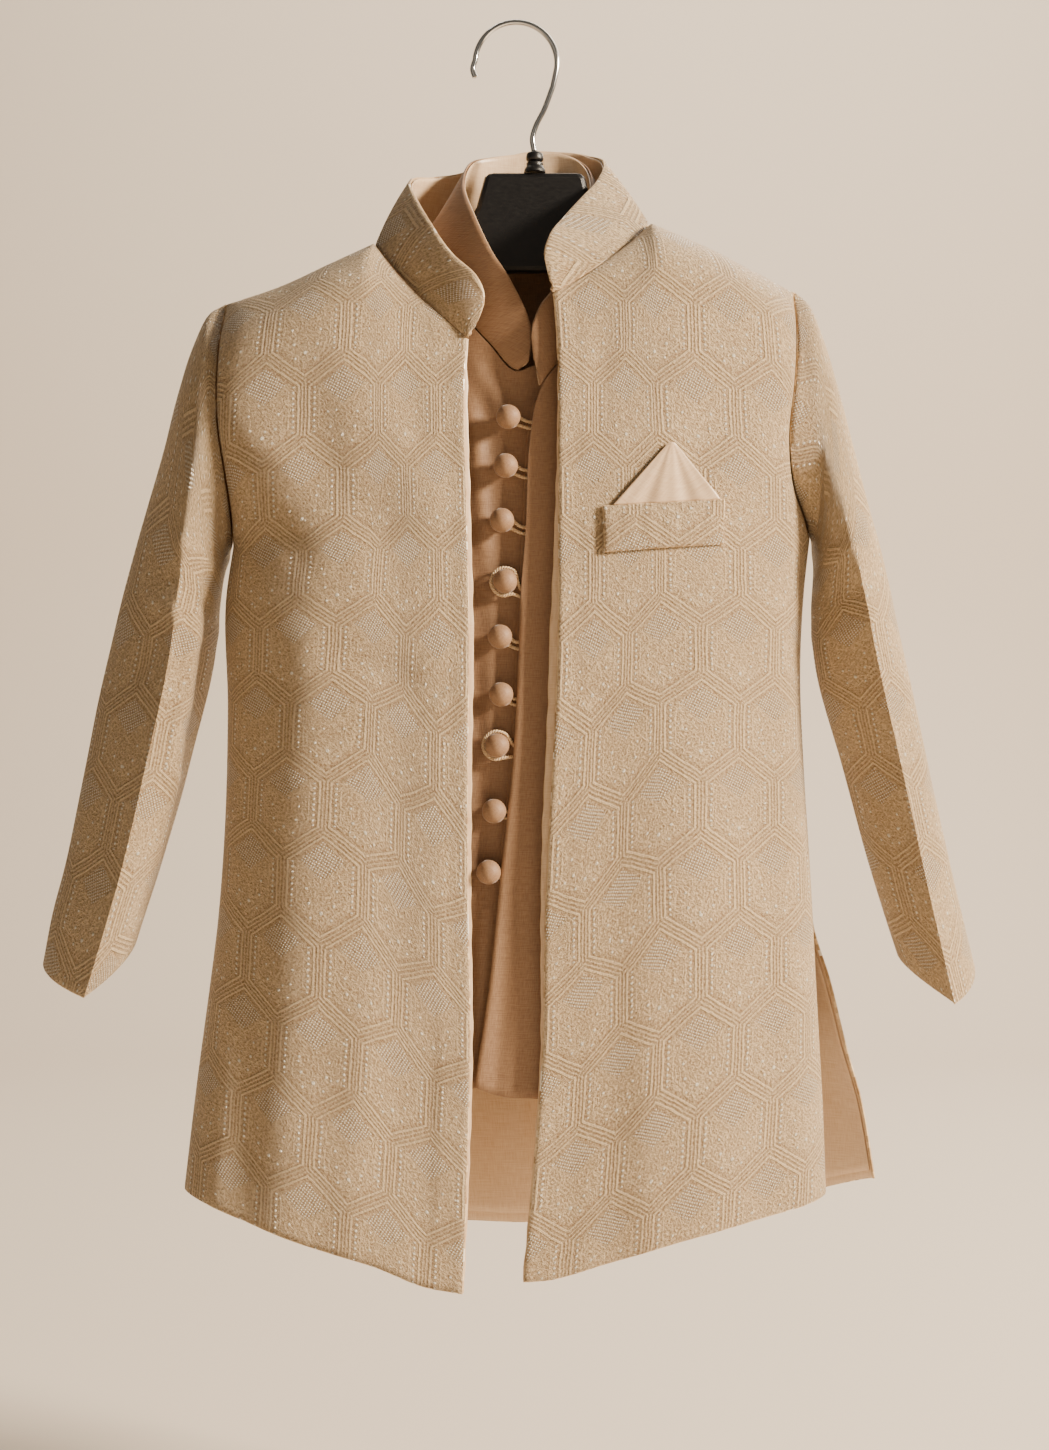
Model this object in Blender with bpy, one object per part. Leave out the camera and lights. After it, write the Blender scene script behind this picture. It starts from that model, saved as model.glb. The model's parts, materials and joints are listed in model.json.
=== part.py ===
"""A small boy's sherwani on a plastic hanger: an open brocade jacket over a buttoned inner layer.

All tables are in millimetres. The origin is the inside of the hook's top, where the hanger is held.
+Z is up, the front faces -Y and +X is on the viewer's right, which is the wearer's left.
"""
import math

import bmesh
import bpy
import numpy as np
from mathutils import Vector
from mathutils.bvhtree import BVHTree

MM = 0.001
FORWARD = np.array((0.0, -1.0, 0.0))

# Cloth and seams
SEAM_GAP = 0.3
BROCADE = 1.5
SATIN = 0.8
SILK = 1.0
COLLAR_WALL = 1.6
WELT_WALL = 1.6
SLEEVE_GAP = 0.8
COLLAR_GAP = {"jacket": 0.5, "inner": 1.2}

COLLAR_BULGE = {"jacket": 1.2, "inner": 0.8}
BACK_SHOULDER_GAP = 0.5

# How a panel rounds over the shoulder: share of its length and power of the curve, for the jacket,
# whose cloth is stiff, and for the inner layer, which hangs from the hanger's arms
SHOULDER_ROUND = {"jacket": (0.075, 0.5), "inner": (0.35, 0.8)}
BACK_ROUND = {"jacket": (0.075, 0.5), "inner": (0.12, 0.6)}

# The crown behind the shoulder seam: its height, the depth where it ends and where it is full
CROWN = 2.6
CROWN_ENDS = 2.0
CROWN_FADE = 6.0

# Power of a panel's section, share of a front that stays unrippled at its edge
SECTION_POWER = 3.0
EDGE_FLAT = 0.12

# Folds: how far they run out past their foot, and the share of them that rises at an end
FOLD_REACH = 1.25
FOLD_RISE = 0.3

# Grid of a panel: steps along the neck, the shoulder, the armhole and the side seam
STEPS = {"jacket": (5, 5, 8, 9), "inner": (5, 4, 5, 6)}
ROW_EASE = {"jacket": 1.3, "inner": 2.0}
NECK_SHARE = 0.42
COLUMN_EASE = 1.4
END_CUTS = 4
SEAM_CUTS = 2
SHARP_ANGLE = 50
BEFORE_ALL = -200.0

# Neck steps of the right front that lie under the left one, before the collar starts
OVERLAP_STEPS = {"jacket": 0, "inner": 1}

# Buttons and loops
BALL_RADIUS = 6.0
BALL_REACH = 7.5
BALL_SIDES = 10
BALL_RINGS = 5
SHANK_RADIUS = 1.6
SHANK_INSIDE = 0.95
SHANK_ANGLE = 18.0
SHANK_SEAT = 2.6
CORD_RADIUS = 0.75
ROUND_SIDES = 2

# Hanger and hook
HANGER_CENTRE = 9.5
PLATE_DEPTH = 8.0
PLATE_RIM = 2.8
NECK_SIDES = 12
WIRE_RADIUS = 1.4
HOOK_RADIUS = 20.8
STEM_STEPS = 9
ARC_STEPS = 18

# Fronts. Columns: x, y, z
EDGE_R = [(-24.2, -41.0, -167.1), (-25.0, -43.0, -182.0), (-24.1, -46.0, -248.0), (-22.8, -47.0, -314.0),
          (-23.4, -47.0, -366.0), (-23.4, -46.0, -440.0), (-22.4, -45.0, -509.0), (-24.1, -44.0, -578.0),
          (-26.1, -43.0, -632.0)]
EDGE_L = [(18.9, -45.0, -146.0), (20.5, -46.0, -169.0), (21.0, -47.0, -234.0), (21.0, -48.0, -305.0),
          (19.3, -48.0, -358.0), (17.0, -48.0, -400.0), (15.2, -48.0, -437.0), (13.0, -46.0, -521.0),
          (8.9, -45.0, -574.0), (4.1, -44.0, -626.0)]
NECK_R = [(-24.2, -41.0, -167.1), (-37.0, -37.0, -154.5), (-46.1, -32.0, -146.0), (-58.6, -21.0, -131.3),
          (-71.2, -6.0, -113.5)]
NECK_L = [(18.9, -45.0, -146.0), (33.8, -40.0, -136.0), (51.4, -29.0, -121.3), (60.0, -19.0, -112.7),
          (67.7, -6.0, -103.6)]
SHOULDER_R = [(-71.2, -6.0, -113.5), (-94.0, -6.0, -123.8), (-117.1, -6.0, -134.2), (-146.0, -5.0, -143.0)]
SHOULDER_L = [(67.7, -6.0, -103.6), (98.0, -6.0, -116.5), (116.1, -6.0, -125.4), (140.0, -5.0, -136.8)]
BACK_NECK = [(-71.2, -5.5, -113.5), (-58.0, 14.0, -102.5), (-34.6, 27.0, -93.5), (0.0, 31.0, -90.0),
             (30.0, 28.0, -91.5), (54.0, 13.0, -97.5), (67.7, -5.5, -103.6)]

# Armholes. Columns: x, z, y of the front, y of the back
ARMHOLE_R = [(-146.0, -143.0, -5.0, -4.5), (-146.9, -156.2, -16.0, 7.0), (-147.3, -168.5, -23.0, 16.0),
             (-147.4, -188.4, -29.0, 23.0), (-146.7, -208.0, -30.0, 25.0), (-144.2, -230.0, -24.0, 20.0),
             (-142.7, -252.0, -11.0, 9.0), (-143.5, -266.0, -0.2, 0.2)]
ARMHOLE_L = [(140.0, -136.8, -5.0, -4.5), (139.8, -152.0, -17.0, 7.0), (139.0, -169.7, -24.0, 17.0),
             (137.2, -188.4, -29.0, 23.0), (134.8, -212.0, -29.0, 25.0), (137.4, -235.0, -22.0, 18.0),
             (145.5, -253.0, -7.0, 6.0), (149.0, -262.0, -0.2, 0.2)]

# Side seams down to the slits. Columns: x of the front, x of the back, z, y of the front, y of the back
SIDE_R = [(-143.5, -143.5, -266.0, -0.2, 0.2), (-147.0, -147.0, -290.0, -0.2, 0.2),
          (-146.3, -146.3, -346.5, -0.2, 0.2), (-148.6, -148.6, -420.6, -0.2, 0.2),
          (-151.6, -151.2, -457.0, -0.3, 0.6), (-155.0, -153.6, -485.0, -1.0, 3.0),
          (-161.6, -158.0, -536.4, -3.0, 7.0), (-167.0, -161.0, -588.0, -8.0, 12.0)]
SIDE_L = [(149.0, 149.0, -262.0, -0.2, 0.2), (146.3, 146.3, -286.5, -0.2, 0.2),
          (144.3, 144.3, -325.0, -0.2, 0.2), (146.0, 146.0, -376.0, -0.2, 0.2),
          (148.8, 148.8, -420.6, -0.2, 0.2), (150.9, 151.2, -457.0, -0.3, 0.8),
          (152.2, 160.5, -485.0, -1.0, 6.5), (153.8, 170.5, -522.0, -4.0, 13.0),
          (155.0, 178.5, -549.0, -6.0, 16.5), (155.9, 186.0, -590.0, -10.0, 20.0)]

# Hems, front edge to side, and for the back wearer's right to left. Columns: x, z
HEM_R = [(-26.1, -632.0), (-44.1, -628.8), (-68.9, -619.0), (-101.8, -609.2), (-134.9, -598.5),
         (-161.0, -589.8), (-167.0, -588.0)]
HEM_L = [(4.1, -626.0), (14.7, -625.4), (42.0, -618.1), (79.6, -606.8), (117.9, -598.0), (150.0, -591.4),
         (155.9, -590.0)]
HEM_BACK = [(-161.0, -590.0), (-145.0, -598.0), (-97.0, -612.0), (-9.8, -619.7), (97.2, -613.4),
            (162.7, -599.3), (186.0, -591.5)]
BACK_DEPTH = [(38.0, 0.0), (40.0, 0.45), (45.0, 1.0)]

# Soft folds in the fronts: a trough has a negative height.
# Columns: x and z of its top, x and z of its foot, half width, height
FOLDS_R = [(-62.0, -200.0, -56.0, -560.0, 16.0, -2.2), (-98.0, -230.0, -112.0, -600.0, 15.0, 2.0),
           (-126.0, -300.0, -134.0, -590.0, 10.0, -2.4), (-40.0, -340.0, -92.0, -318.0, 9.0, -1.2)]
FOLDS_L = [(48.0, -330.0, 44.0, -610.0, 15.0, -1.8), (84.0, -290.0, 92.0, -600.0, 17.0, 2.0),
           (118.0, -240.0, 126.0, -590.0, 12.0, -2.4), (28.0, -352.0, 78.0, -330.0, 8.0, -1.0)]
FOLDS_BACK = [(-70.0, -190.0, -86.0, -600.0, 18.0, 3.0), (4.0, -150.0, 0.0, -600.0, 15.0, -2.4),
              (72.0, -200.0, 92.0, -600.0, 18.0, 3.2), (124.0, -330.0, 142.0, -590.0, 13.0, -2.6),
              (-122.0, -320.0, -130.0, -590.0, 12.0, -2.2)]

# Top of the jacket's collar, from the wearer's right tip round the neck to the left tip.
# Columns: share of the neck seam, x, y, z
COLLAR_TOP = [(0.0, -19.5, -43.0, -162.0), (0.028, -15.6, -45.5, -150.0), (0.061, -19.2, -45.0, -138.3),
              (0.1, -31.0, -38.5, -126.0), (0.163, -44.0, -25.0, -105.0), (0.243, -54.5, -3.0, -80.5),
              (0.322, -44.4, 14.0, -73.8), (0.408, -30.0, 23.0, -69.5), (0.514, 2.5, 32.0, -56.5),
              (0.606, 24.0, 32.0, -56.2), (0.693, 39.0, 24.0, -60.0), (0.766, 45.8, 6.0, -68.5),
              (0.819, 41.0, -7.0, -81.5), (0.868, 33.0, -18.0, -92.5), (0.918, 24.0, -29.0, -105.0),
              (0.959, 16.4, -40.0, -118.0), (0.982, 14.3, -44.5, -128.5), (1.0, 16.5, -45.5, -140.5)]

# Top of the inner collar, the same way round
INNER_COLLAR_TOP = [(0.0, 4.5, -36.0, -173.5), (0.023, 7.3, -37.5, -163.0), (0.057, 4.5, -38.0, -153.0),
                    (0.09, -2.5, -36.0, -138.5), (0.156, -12.7, -30.0, -121.3), (0.224, -22.0, -19.0, -99.5),
                    (0.287, -27.0, -6.0, -83.0), (0.346, -25.0, 8.0, -69.0), (0.424, -14.0, 18.5, -62.5),
                    (0.495, 4.0, 25.0, -59.0), (0.569, 24.0, 23.5, -59.5), (0.635, 36.5, 15.0, -67.5),
                    (0.685, 38.95, -0.5, -78.8), (0.769, 34.95, -15.5, -97.8), (0.858, 28.0, -28.0, -122.0),
                    (0.923, 18.0, -37.0, -143.0), (0.964, 10.6, -41.0, -154.5), (0.988, 7.6, -41.6, -166.0),
                    (1.0, 8.6, -41.4, -177.0)]

# Inner fronts. Columns: x, y, z
FLAP_EDGE = [(12.4, -40.5, -191.0), (9.9, -40.5, -198.2), (7.5, -40.5, -212.4), (5.0, -40.5, -260.8),
             (2.6, -40.5, -293.0), (1.7, -40.5, -320.0), (-1.0, -40.5, -372.0), (-6.7, -40.5, -426.5),
             (-12.6, -40.5, -483.6), (-19.9, -40.0, -532.0)]
UNDER_EDGE = [(22.0, -35.0, -192.0), (19.0, -35.0, -214.0), (17.0, -35.0, -261.0), (13.6, -35.0, -320.0),
              (11.0, -35.0, -372.0), (5.3, -35.0, -426.5), (-0.6, -35.0, -483.6), (-7.9, -35.0, -532.0)]
INNER_NECK_R = [(22.0, -35.0, -192.0), (9.0, -34.6, -188.0), (-0.6, -34.0, -182.9), (-13.0, -32.5, -168.8),
                (-20.1, -31.0, -161.0), (-32.6, -25.0, -144.4), (-43.5, -15.0, -127.6), (-50.0, -3.0, -112.2)]
INNER_NECK_L = [(12.4, -40.5, -191.0), (14.8, -40.6, -186.9), (19.7, -39.5, -180.8), (27.0, -37.0, -169.8),
                (37.0, -31.0, -151.8), (49.0, -20.0, -127.7), (54.8, -3.0, -106.4)]
INNER_BACK_NECK = [(-50.0, -2.5, -112.2), (-42.0, 13.0, -104.6), (-19.0, 22.5, -98.6), (4.0, 24.5, -95.6),
                   (28.0, 21.0, -97.1), (46.0, 10.0, -101.6), (54.8, -2.5, -106.4)]
INNER_SHOULDER_R = [(-50.0, -3.0, -112.2), (-85.0, -3.0, -127.0), (-128.0, -3.0, -145.4)]
INNER_SHOULDER_L = [(54.8, -3.0, -106.4), (86.0, -3.0, -119.6), (124.0, -3.0, -135.7)]
INNER_ARMHOLE_R = [(-128.0, -145.4, -3.0, -2.5), (-126.5, -149.5, -12.0, 9.0), (-123.0, -165.0, -20.0, 13.0),
                   (-118.0, -188.0, -25.0, 15.0), (-117.0, -214.0, -24.0, 14.0), (-123.0, -241.0, -10.0, 7.0),
                   (-130.0, -262.0, -0.2, 0.2)]
INNER_ARMHOLE_L = [(124.0, -135.7, -3.0, -2.5), (122.8, -140.0, -12.0, 9.0), (119.5, -157.0, -20.0, 13.0),
                   (114.0, -181.0, -25.0, 15.0), (113.0, -208.0, -24.0, 14.0), (120.0, -238.0, -10.0, 7.0),
                   (128.0, -258.0, -0.2, 0.2)]
INNER_SIDE_R = [(-130.0, -130.0, -262.0, -0.2, 0.2), (-132.0, -132.0, -300.0, -0.2, 0.2),
                (-133.0, -133.0, -400.0, -0.2, 0.2), (-140.0, -140.0, -530.0, -0.2, 0.2)]
INNER_SIDE_L = [(128.0, 128.0, -258.0, -0.2, 0.2), (130.0, 130.0, -300.0, -0.2, 0.2),
                (130.0, 130.0, -400.0, -0.2, 0.2), (137.0, 137.0, -532.0, -0.2, 0.2)]
INNER_HEM_R = [(-7.9, -532.0), (-20.4, -533.4), (-70.0, -535.0), (-140.0, -530.0)]
INNER_HEM_L = [(-19.9, -532.0), (-8.7, -536.3), (8.9, -537.6), (70.0, -538.0), (137.0, -532.0)]
INNER_HEM_BACK = [(-140.0, -530.0), (-70.0, -535.0), (0.0, -537.0), (70.0, -537.0), (137.0, -532.0)]
INNER_BACK_DEPTH = [(24.0, 0.0), (25.0, 0.5), (27.0, 1.0)]

# Drag folds that run from the inner collar's tip towards the first button
FOLDS_INNER_R = [(-22.0, -166.0, -6.0, -208.0, 4.0, 1.6), (-23.0, -182.0, -16.0, -262.0, 4.5, 1.5),
                 (-14.0, -172.0, -12.0, -230.0, 4.0, -1.2), (-12.0, -430.0, -18.0, -530.0, 5.0, 1.0)]

# Sleeves: power of a facet beside the crease, depth and hem drop of the back against the front's
FACET_POWER = 0.6
SLEEVE_BACK = 0.82
DROP_BACK = 0.3

# Sleeves. Columns: outer x and z, inner x and z, half depth, how sharp the crease is (0 to 1),
# where the crease lies from the inner side (-1) to the outer side (1), how far its hem hangs lower
SLEEVE_R = [(-156.0, -148.2, -145.2, -266.8, 31.0, 0.0, 0.0, 0.0),
            (-163.5, -164.0, -145.9, -269.3, 31.0, 0.0, 0.0, 0.0),
            (-170.8, -187.0, -146.7, -273.0, 31.0, 0.1, -0.05, 0.0),
            (-178.4, -215.9, -147.9, -278.0, 31.0, 0.3, -0.12, 0.0),
            (-186.5, -243.8, -149.2, -285.0, 30.5, 0.5, -0.2, 0.0),
            (-194.8, -271.8, -150.4, -295.0, 30.0, 0.75, -0.28, 0.0),
            (-206.0, -316.5, -153.6, -325.0, 30.0, 1.0, -0.34, 0.0),
            (-217.7, -372.0, -166.6, -379.0, 29.0, 1.0, -0.35, 2.0),
            (-229.4, -428.0, -180.9, -428.2, 28.0, 1.0, -0.33, 8.0),
            (-235.6, -453.0, -187.4, -449.0, 27.5, 1.0, -0.25, 14.0),
            (-240.0, -476.0, -192.5, -465.5, 27.0, 1.0, -0.12, 20.0)]
SLEEVE_L = [(149.0, -143.6, 150.8, -263.8, 31.0, 0.0, 0.0, 0.0),
            (155.0, -158.5, 151.2, -267.5, 31.0, 0.0, 0.0, 0.0),
            (162.5, -183.4, 151.4, -272.0, 31.0, 0.1, 0.0, 0.0),
            (171.0, -214.4, 151.2, -278.0, 31.0, 0.3, 0.04, 0.0),
            (178.6, -243.8, 150.6, -286.0, 30.5, 0.5, 0.08, 0.0),
            (186.4, -271.8, 150.0, -297.0, 30.0, 0.75, 0.12, 0.0),
            (197.3, -320.0, 152.4, -328.0, 30.0, 1.0, 0.15, 0.0),
            (208.8, -374.0, 165.4, -376.0, 29.0, 1.0, 0.16, 2.0),
            (220.5, -428.0, 179.4, -428.0, 28.0, 1.0, 0.17, 7.0),
            (226.6, -453.0, 186.5, -451.0, 27.5, 1.0, 0.18, 12.0),
            (232.6, -477.5, 193.5, -472.0, 27.0, 1.0, 0.2, 18.0)]

# Front edge facings: how far the satin stands past the brocade. Columns: z, reach
FACING_REACH_R = [(-167.0, 0.3), (-190.0, 1.8), (-330.0, 2.3), (-470.0, 1.4), (-560.0, 1.2), (-632.0, 0.6)]
FACING_REACH_L = [(-146.0, 0.2), (-230.0, 0.8), (-312.0, 4.2), (-400.0, 3.6), (-440.0, 2.6), (-520.0, 0.9),
                  (-626.0, 0.4)]
FACING_COLUMNS = 4

# The back's lining: where it starts, and the share of the last row and column left to the turned edge
LINING_TOP = 0.52
TURN_IN_HEM = 0.14
TURN_IN_SIDE = 0.8

# Buttons. Columns: x, z, radius of the loop round the shank, height of the upper and lower strand
BUTTONS = [(-3.7, -205.6, 3.2, -1.6, -5.0), (-4.9, -229.4, 3.4, -1.5, -5.6), (-6.7, -256.0, 3.4, -3.0, -6.4),
           (-5.2, -285.7, 6.9, -4.4, -7.6), (-7.6, -312.7, 3.4, -2.4, -6.0), (-7.1, -340.8, 3.4, -2.0, -5.2),
           (-9.1, -365.6, 6.9, -0.6, -5.4), (-10.6, -397.5, 3.4, -0.4, -3.8), (-13.2, -427.2, 3.4, 0.6, -3.4)]

# The strip that holds the loops: its columns' reach from the flap's edge, and its top and foot
STRIP_REACH = (-1.5, 2.0, 5.5)
STRIP_ENDS = (-196.0, -421.0)
STRIP_STEPS = 12

# A loop: where it starts under the flap, its lift off the cloth, and more lift for each mm wider
# than a snug one. It leaves the strip at its lip and turns round the button between two angles.
LOOP_ROOT = 2.2
LOOP_LIFT = 0.45
SNUG_RADIUS = 4.0
WIDE_LIFT = 0.8
LIP_REACH = 0.6
LIP_HEIGHT = 0.9
LIP_ROOM = 1.0
TURN_START = 60.0
TURN_SWEEP = 240.0
TURN_STEPS = 6

# Pocket, corners of the welt and of the square's triangle. Columns: x, z
WELT_CORNERS = [(42.5, -249.8), (101.4, -246.2), (101.1, -267.3), (43.1, -271.6)]
SQUARE_CORNERS = [(47.6, -248.9), (99.5, -245.7), (75.7, -217.1)]
SQUARE_TIP = 0.06
WELT_STEPS = (6, 2)
SQUARE_STEPS = (4, 5)

# Hanger plate, half of its outline from the top down, as distance from the centre and z
PLATE_HALF = [(23.5, -75.6), (25.5, -78.0), (29.5, -93.0), (37.0, -105.4), (72.0, -120.2), (90.0, -128.2),
              (99.5, -134.6), (103.0, -138.5), (101.5, -143.5), (72.0, -134.5), (32.0, -126.0)]

# Socket that holds the wire, from the plate up, as radius and z
NECK_PROFILE = [(0.0, -75.2), (5.6, -75.2), (5.3, -73.8), (4.2, -71.6), (4.2, -70.3), (2.6, -69.8),
                (4.1, -69.0), (4.3, -66.6), (3.9, -65.4), (2.4, -64.6), (0.0, -64.5)]

# Hook: its stem and its tip as x and z, and the angles of the arc between them
HOOK_STEM = [(9.1, -64.0), (8.3, -57.9), (10.0, -51.5), (14.0, -43.6), (18.6, -31.5)]
HOOK_ARC_START = -8.0
HOOK_ARC_END = 176.0
HOOK_TIP = [(-21.4, -19.6), (-22.0, -22.4), (-20.8, -26.6)]

COLOURS = {
    "brocade": (0.62, 0.50, 0.35), "satin": (0.72, 0.54, 0.42), "silk": (0.42, 0.29, 0.17),
    "plastic": (0.012, 0.012, 0.014), "steel": (0.62, 0.62, 0.63), "cord": (0.55, 0.41, 0.27)}
ROUGHNESS = {"brocade": 0.6, "satin": 0.4, "silk": 0.7, "plastic": 0.4, "steel": 0.2, "cord": 0.7}


def through(rows, where, knots=None):
    """A smooth curve through the rows of a table, read at fractions of its length or at given knots."""
    points = np.array(rows, float)
    if knots is None:
        step = np.linalg.norm(np.diff(points, axis=0), axis=1)
        knots = np.concatenate(([0.0], np.cumsum(step))) / step.sum()
    slope = np.gradient(points, knots, axis=0)
    curve = []
    for t in where:
        i = max(0, min(int(np.searchsorted(knots, t, side="right")) - 1, len(knots) - 2))
        span = knots[i + 1] - knots[i]
        s = (t - knots[i]) / span
        curve.append(points[i] * (1 + 2 * s) * (1 - s) ** 2 + points[i + 1] * s * s * (3 - 2 * s)
                     + slope[i] * span * s * (1 - s) ** 2 - slope[i + 1] * span * s * s * (1 - s))
    return np.array(curve)


def evenly(steps):
    return np.linspace(0, 1, steps + 1)


def closing(steps):
    """Fractions that lie closer towards the end."""
    return 1 - (1 - evenly(steps)) ** COLUMN_EASE


def columns(neck_steps, shoulder_steps):
    """Fractions across a front: even along the neck, closer towards the side."""
    rest = NECK_SHARE + (1 - NECK_SHARE) * closing(shoulder_steps)
    return np.concatenate((NECK_SHARE * evenly(neck_steps), rest[1:]))


def rows_down(kind, side_curve):
    """Fractions down a panel: closer at the shoulder, even below the armhole."""
    _, _, armhole_steps, side_steps = STEPS[kind]
    step = np.linalg.norm(np.diff(side_curve, axis=0), axis=1)
    share = step[:armhole_steps].sum() / step.sum()
    low = share + (1 - share) * evenly(side_steps)
    return np.concatenate((share * evenly(armhole_steps) ** ROW_EASE[kind], low[1:]))


def fill(edge, top, side, hem, us, vs):
    """The patch between four curves that meet at its corners."""
    u = us[None, :, None]
    v = vs[:, None, None]
    across = (1 - u) * edge[:, None, :] + u * side[:, None, :]
    down = (1 - v) * top[None, :, :] + v * hem[None, :, :]
    corners = ((1 - u) * (1 - v) * top[0] + u * (1 - v) * top[-1]
               + (1 - u) * v * hem[0] + u * v * hem[-1])
    return across + down - corners


def fold_depth(x, z, folds):
    """Height of all folds at the points x, z: soft ridges and troughs along straight lines."""
    height = np.zeros_like(x)
    for x0, z0, x1, z1, half, rise in folds:
        run = math.hypot(x1 - x0, z1 - z0)
        ax = (x1 - x0) / run
        az = (z1 - z0) / run
        along = ((x - x0) * ax + (z - z0) * az) / run
        aside = (x - x0) * az - (z - z0) * ax
        ends = np.clip(np.minimum(along, FOLD_REACH - along) / FOLD_RISE, 0, 1)
        height += rise * ends * np.exp(-(aside / half) ** 2)
    return height


def over_shoulder(vs, rounding):
    """How far a panel has rounded over the shoulder at each row."""
    share, power = rounding
    return (1 - (1 - np.clip(vs / share, 0, 1)) ** 2)[:, None] ** power


def armhole_and_side(kind, armhole, side, layer):
    """The side edge of a front (layer 0) or a back (layer 1) as x, y, z."""
    _, _, armhole_steps, side_steps = STEPS[kind]
    arm_at = evenly(armhole_steps) ** ROW_EASE[kind]
    arm = through([(row[0], row[2 + layer], row[1]) for row in armhole], arm_at)
    low = through([(row[layer], row[3 + layer], row[2]) for row in side], evenly(side_steps))
    return np.vstack((arm, low[1:]))


def front_panel(kind, edge, neck, shoulder, armhole, side, hem, folds):
    """Outer face of a front: rows run from shoulder to hem, columns from front edge to side."""
    neck_steps, shoulder_steps = STEPS[kind][:2]
    us = columns(neck_steps, shoulder_steps)
    side_curve = armhole_and_side(kind, armhole, side, 0)
    vs = rows_down(kind, side_curve)
    edge_curve = through(edge, vs)
    shoulder_curve = through(shoulder, closing(shoulder_steps))
    top_curve = np.vstack((through(neck, evenly(neck_steps)), shoulder_curve[1:]))
    hem_curve = through([(x, 0.0, z) for x, z in hem], us)
    grid = fill(edge_curve, top_curve, side_curve, hem_curve, us, vs)
    section = np.sqrt(np.clip(1 - us ** SECTION_POWER, 0, 1))[None, :]
    deep = side_curve[:, 1:2] + (edge_curve[:, 1:2] - side_curve[:, 1:2]) * section
    over = over_shoulder(vs, SHOULDER_ROUND[kind])
    top_y = top_curve[:, 1][None, :]
    ripple = fold_depth(grid[:, :, 0], grid[:, :, 2], folds) * over * section
    ripple *= np.clip(us / EDGE_FLAT, 0, 1)
    grid[:, :, 1] = top_y + (deep - top_y) * over - ripple
    return grid


def back_panel(kind, neck, shoulders, armholes, sides, hem, depth, folds):
    """Outer face of a back: columns run from the wearer's right side to the left side."""
    neck_steps, shoulder_steps = STEPS[kind][:2]
    right = armhole_and_side(kind, armholes[0], sides[0], 1)
    left = armhole_and_side(kind, armholes[1], sides[1], 1)
    behind = np.array((0.0, BACK_SHOULDER_GAP, 0.0))
    shoulder_r = through(shoulders[0], evenly(shoulder_steps)[::-1]) + behind
    shoulder_l = through(shoulders[1], evenly(shoulder_steps)) + behind
    top = np.vstack((shoulder_r, through(neck, evenly(neck_steps))[1:], shoulder_l[1:]))
    us = (1 - np.cos(math.pi * evenly(len(top) - 1))) / 2
    vs = rows_down(kind, right)
    hem_curve = through([(x, 0.0, z) for x, z in hem], us)
    grid = fill(right, top, left, hem_curve, us, vs)
    section = np.sqrt(np.clip(1 - np.abs(2 * us - 1) ** SECTION_POWER, 0, 1))[None, :]
    side_y = (1 - us)[None, :] * right[:, 1:2] + us[None, :] * left[:, 1:2]
    full = np.interp(vs, [row[1] for row in depth], [row[0] for row in depth])[:, None]
    deep = side_y + (full - side_y) * section
    over = over_shoulder(vs, BACK_ROUND[kind])
    top_y = top[:, 1][None, :]
    ripple = fold_depth(grid[:, :, 0], grid[:, :, 2], folds) * over * section
    grid[:, :, 1] = top_y + (deep - top_y) * over + ripple
    bump = np.clip(vs / BACK_ROUND[kind][0], 0, 1)[:, None]
    on_shoulder = np.clip((CROWN_ENDS - top_y) / CROWN_FADE, 0, 1)
    grid[:, :, 2] += CROWN * 4 * bump * (1 - bump) * on_shoulder * section
    return grid


def normals(grid, outward, closed=False, flat=()):
    """Unit normals of a grid, turned to the outward side; flat seams get none along Y."""
    if closed:
        along = np.roll(grid, -1, axis=1) - np.roll(grid, 1, axis=1)
    else:
        along = np.gradient(grid, axis=1)
    normal = np.cross(along, np.gradient(grid, axis=0))
    normal *= np.sign((normal * outward).sum())
    for place in flat:
        normal[place + (1,)] = 0.0
    return normal / np.linalg.norm(normal, axis=2)[:, :, None]


def front_seams(kind):
    """Where a front meets the back: along the shoulder and the side seam."""
    neck_steps, _, armhole_steps, _ = STEPS[kind]
    return [(0, slice(neck_steps, None)), (slice(armhole_steps, None), -1)]


def back_seams(kind):
    _, shoulder_steps, armhole_steps, _ = STEPS[kind]
    return [(0, slice(0, shoulder_steps + 1)), (0, slice(-shoulder_steps - 1, None)),
            (slice(armhole_steps, None), 0), (slice(armhole_steps, None), -1)]


def from_axis(grid):
    """Directions that point away from the middle of each row of a ring or a loop."""
    return grid - grid.mean(axis=1)[:, None, :]


def mesh_object(name, verts, faces, material, smooth=True):
    """One object with its faces turned outwards, from points in millimetres."""
    mesh = bpy.data.meshes.new(name)
    mesh.from_pydata([tuple(v * MM for v in point) for point in verts], [], faces)
    solid = bmesh.new()
    solid.from_mesh(mesh)
    bmesh.ops.recalc_face_normals(solid, faces=solid.faces)
    solid.to_mesh(mesh)
    solid.free()
    if smooth:
        mesh.shade_smooth()
        mesh.set_sharp_from_angle(angle=math.radians(SHARP_ANGLE))
    mesh.materials.append(material)
    thing = bpy.data.objects.new(name, mesh)
    bpy.context.collection.objects.link(thing)
    return thing


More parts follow.
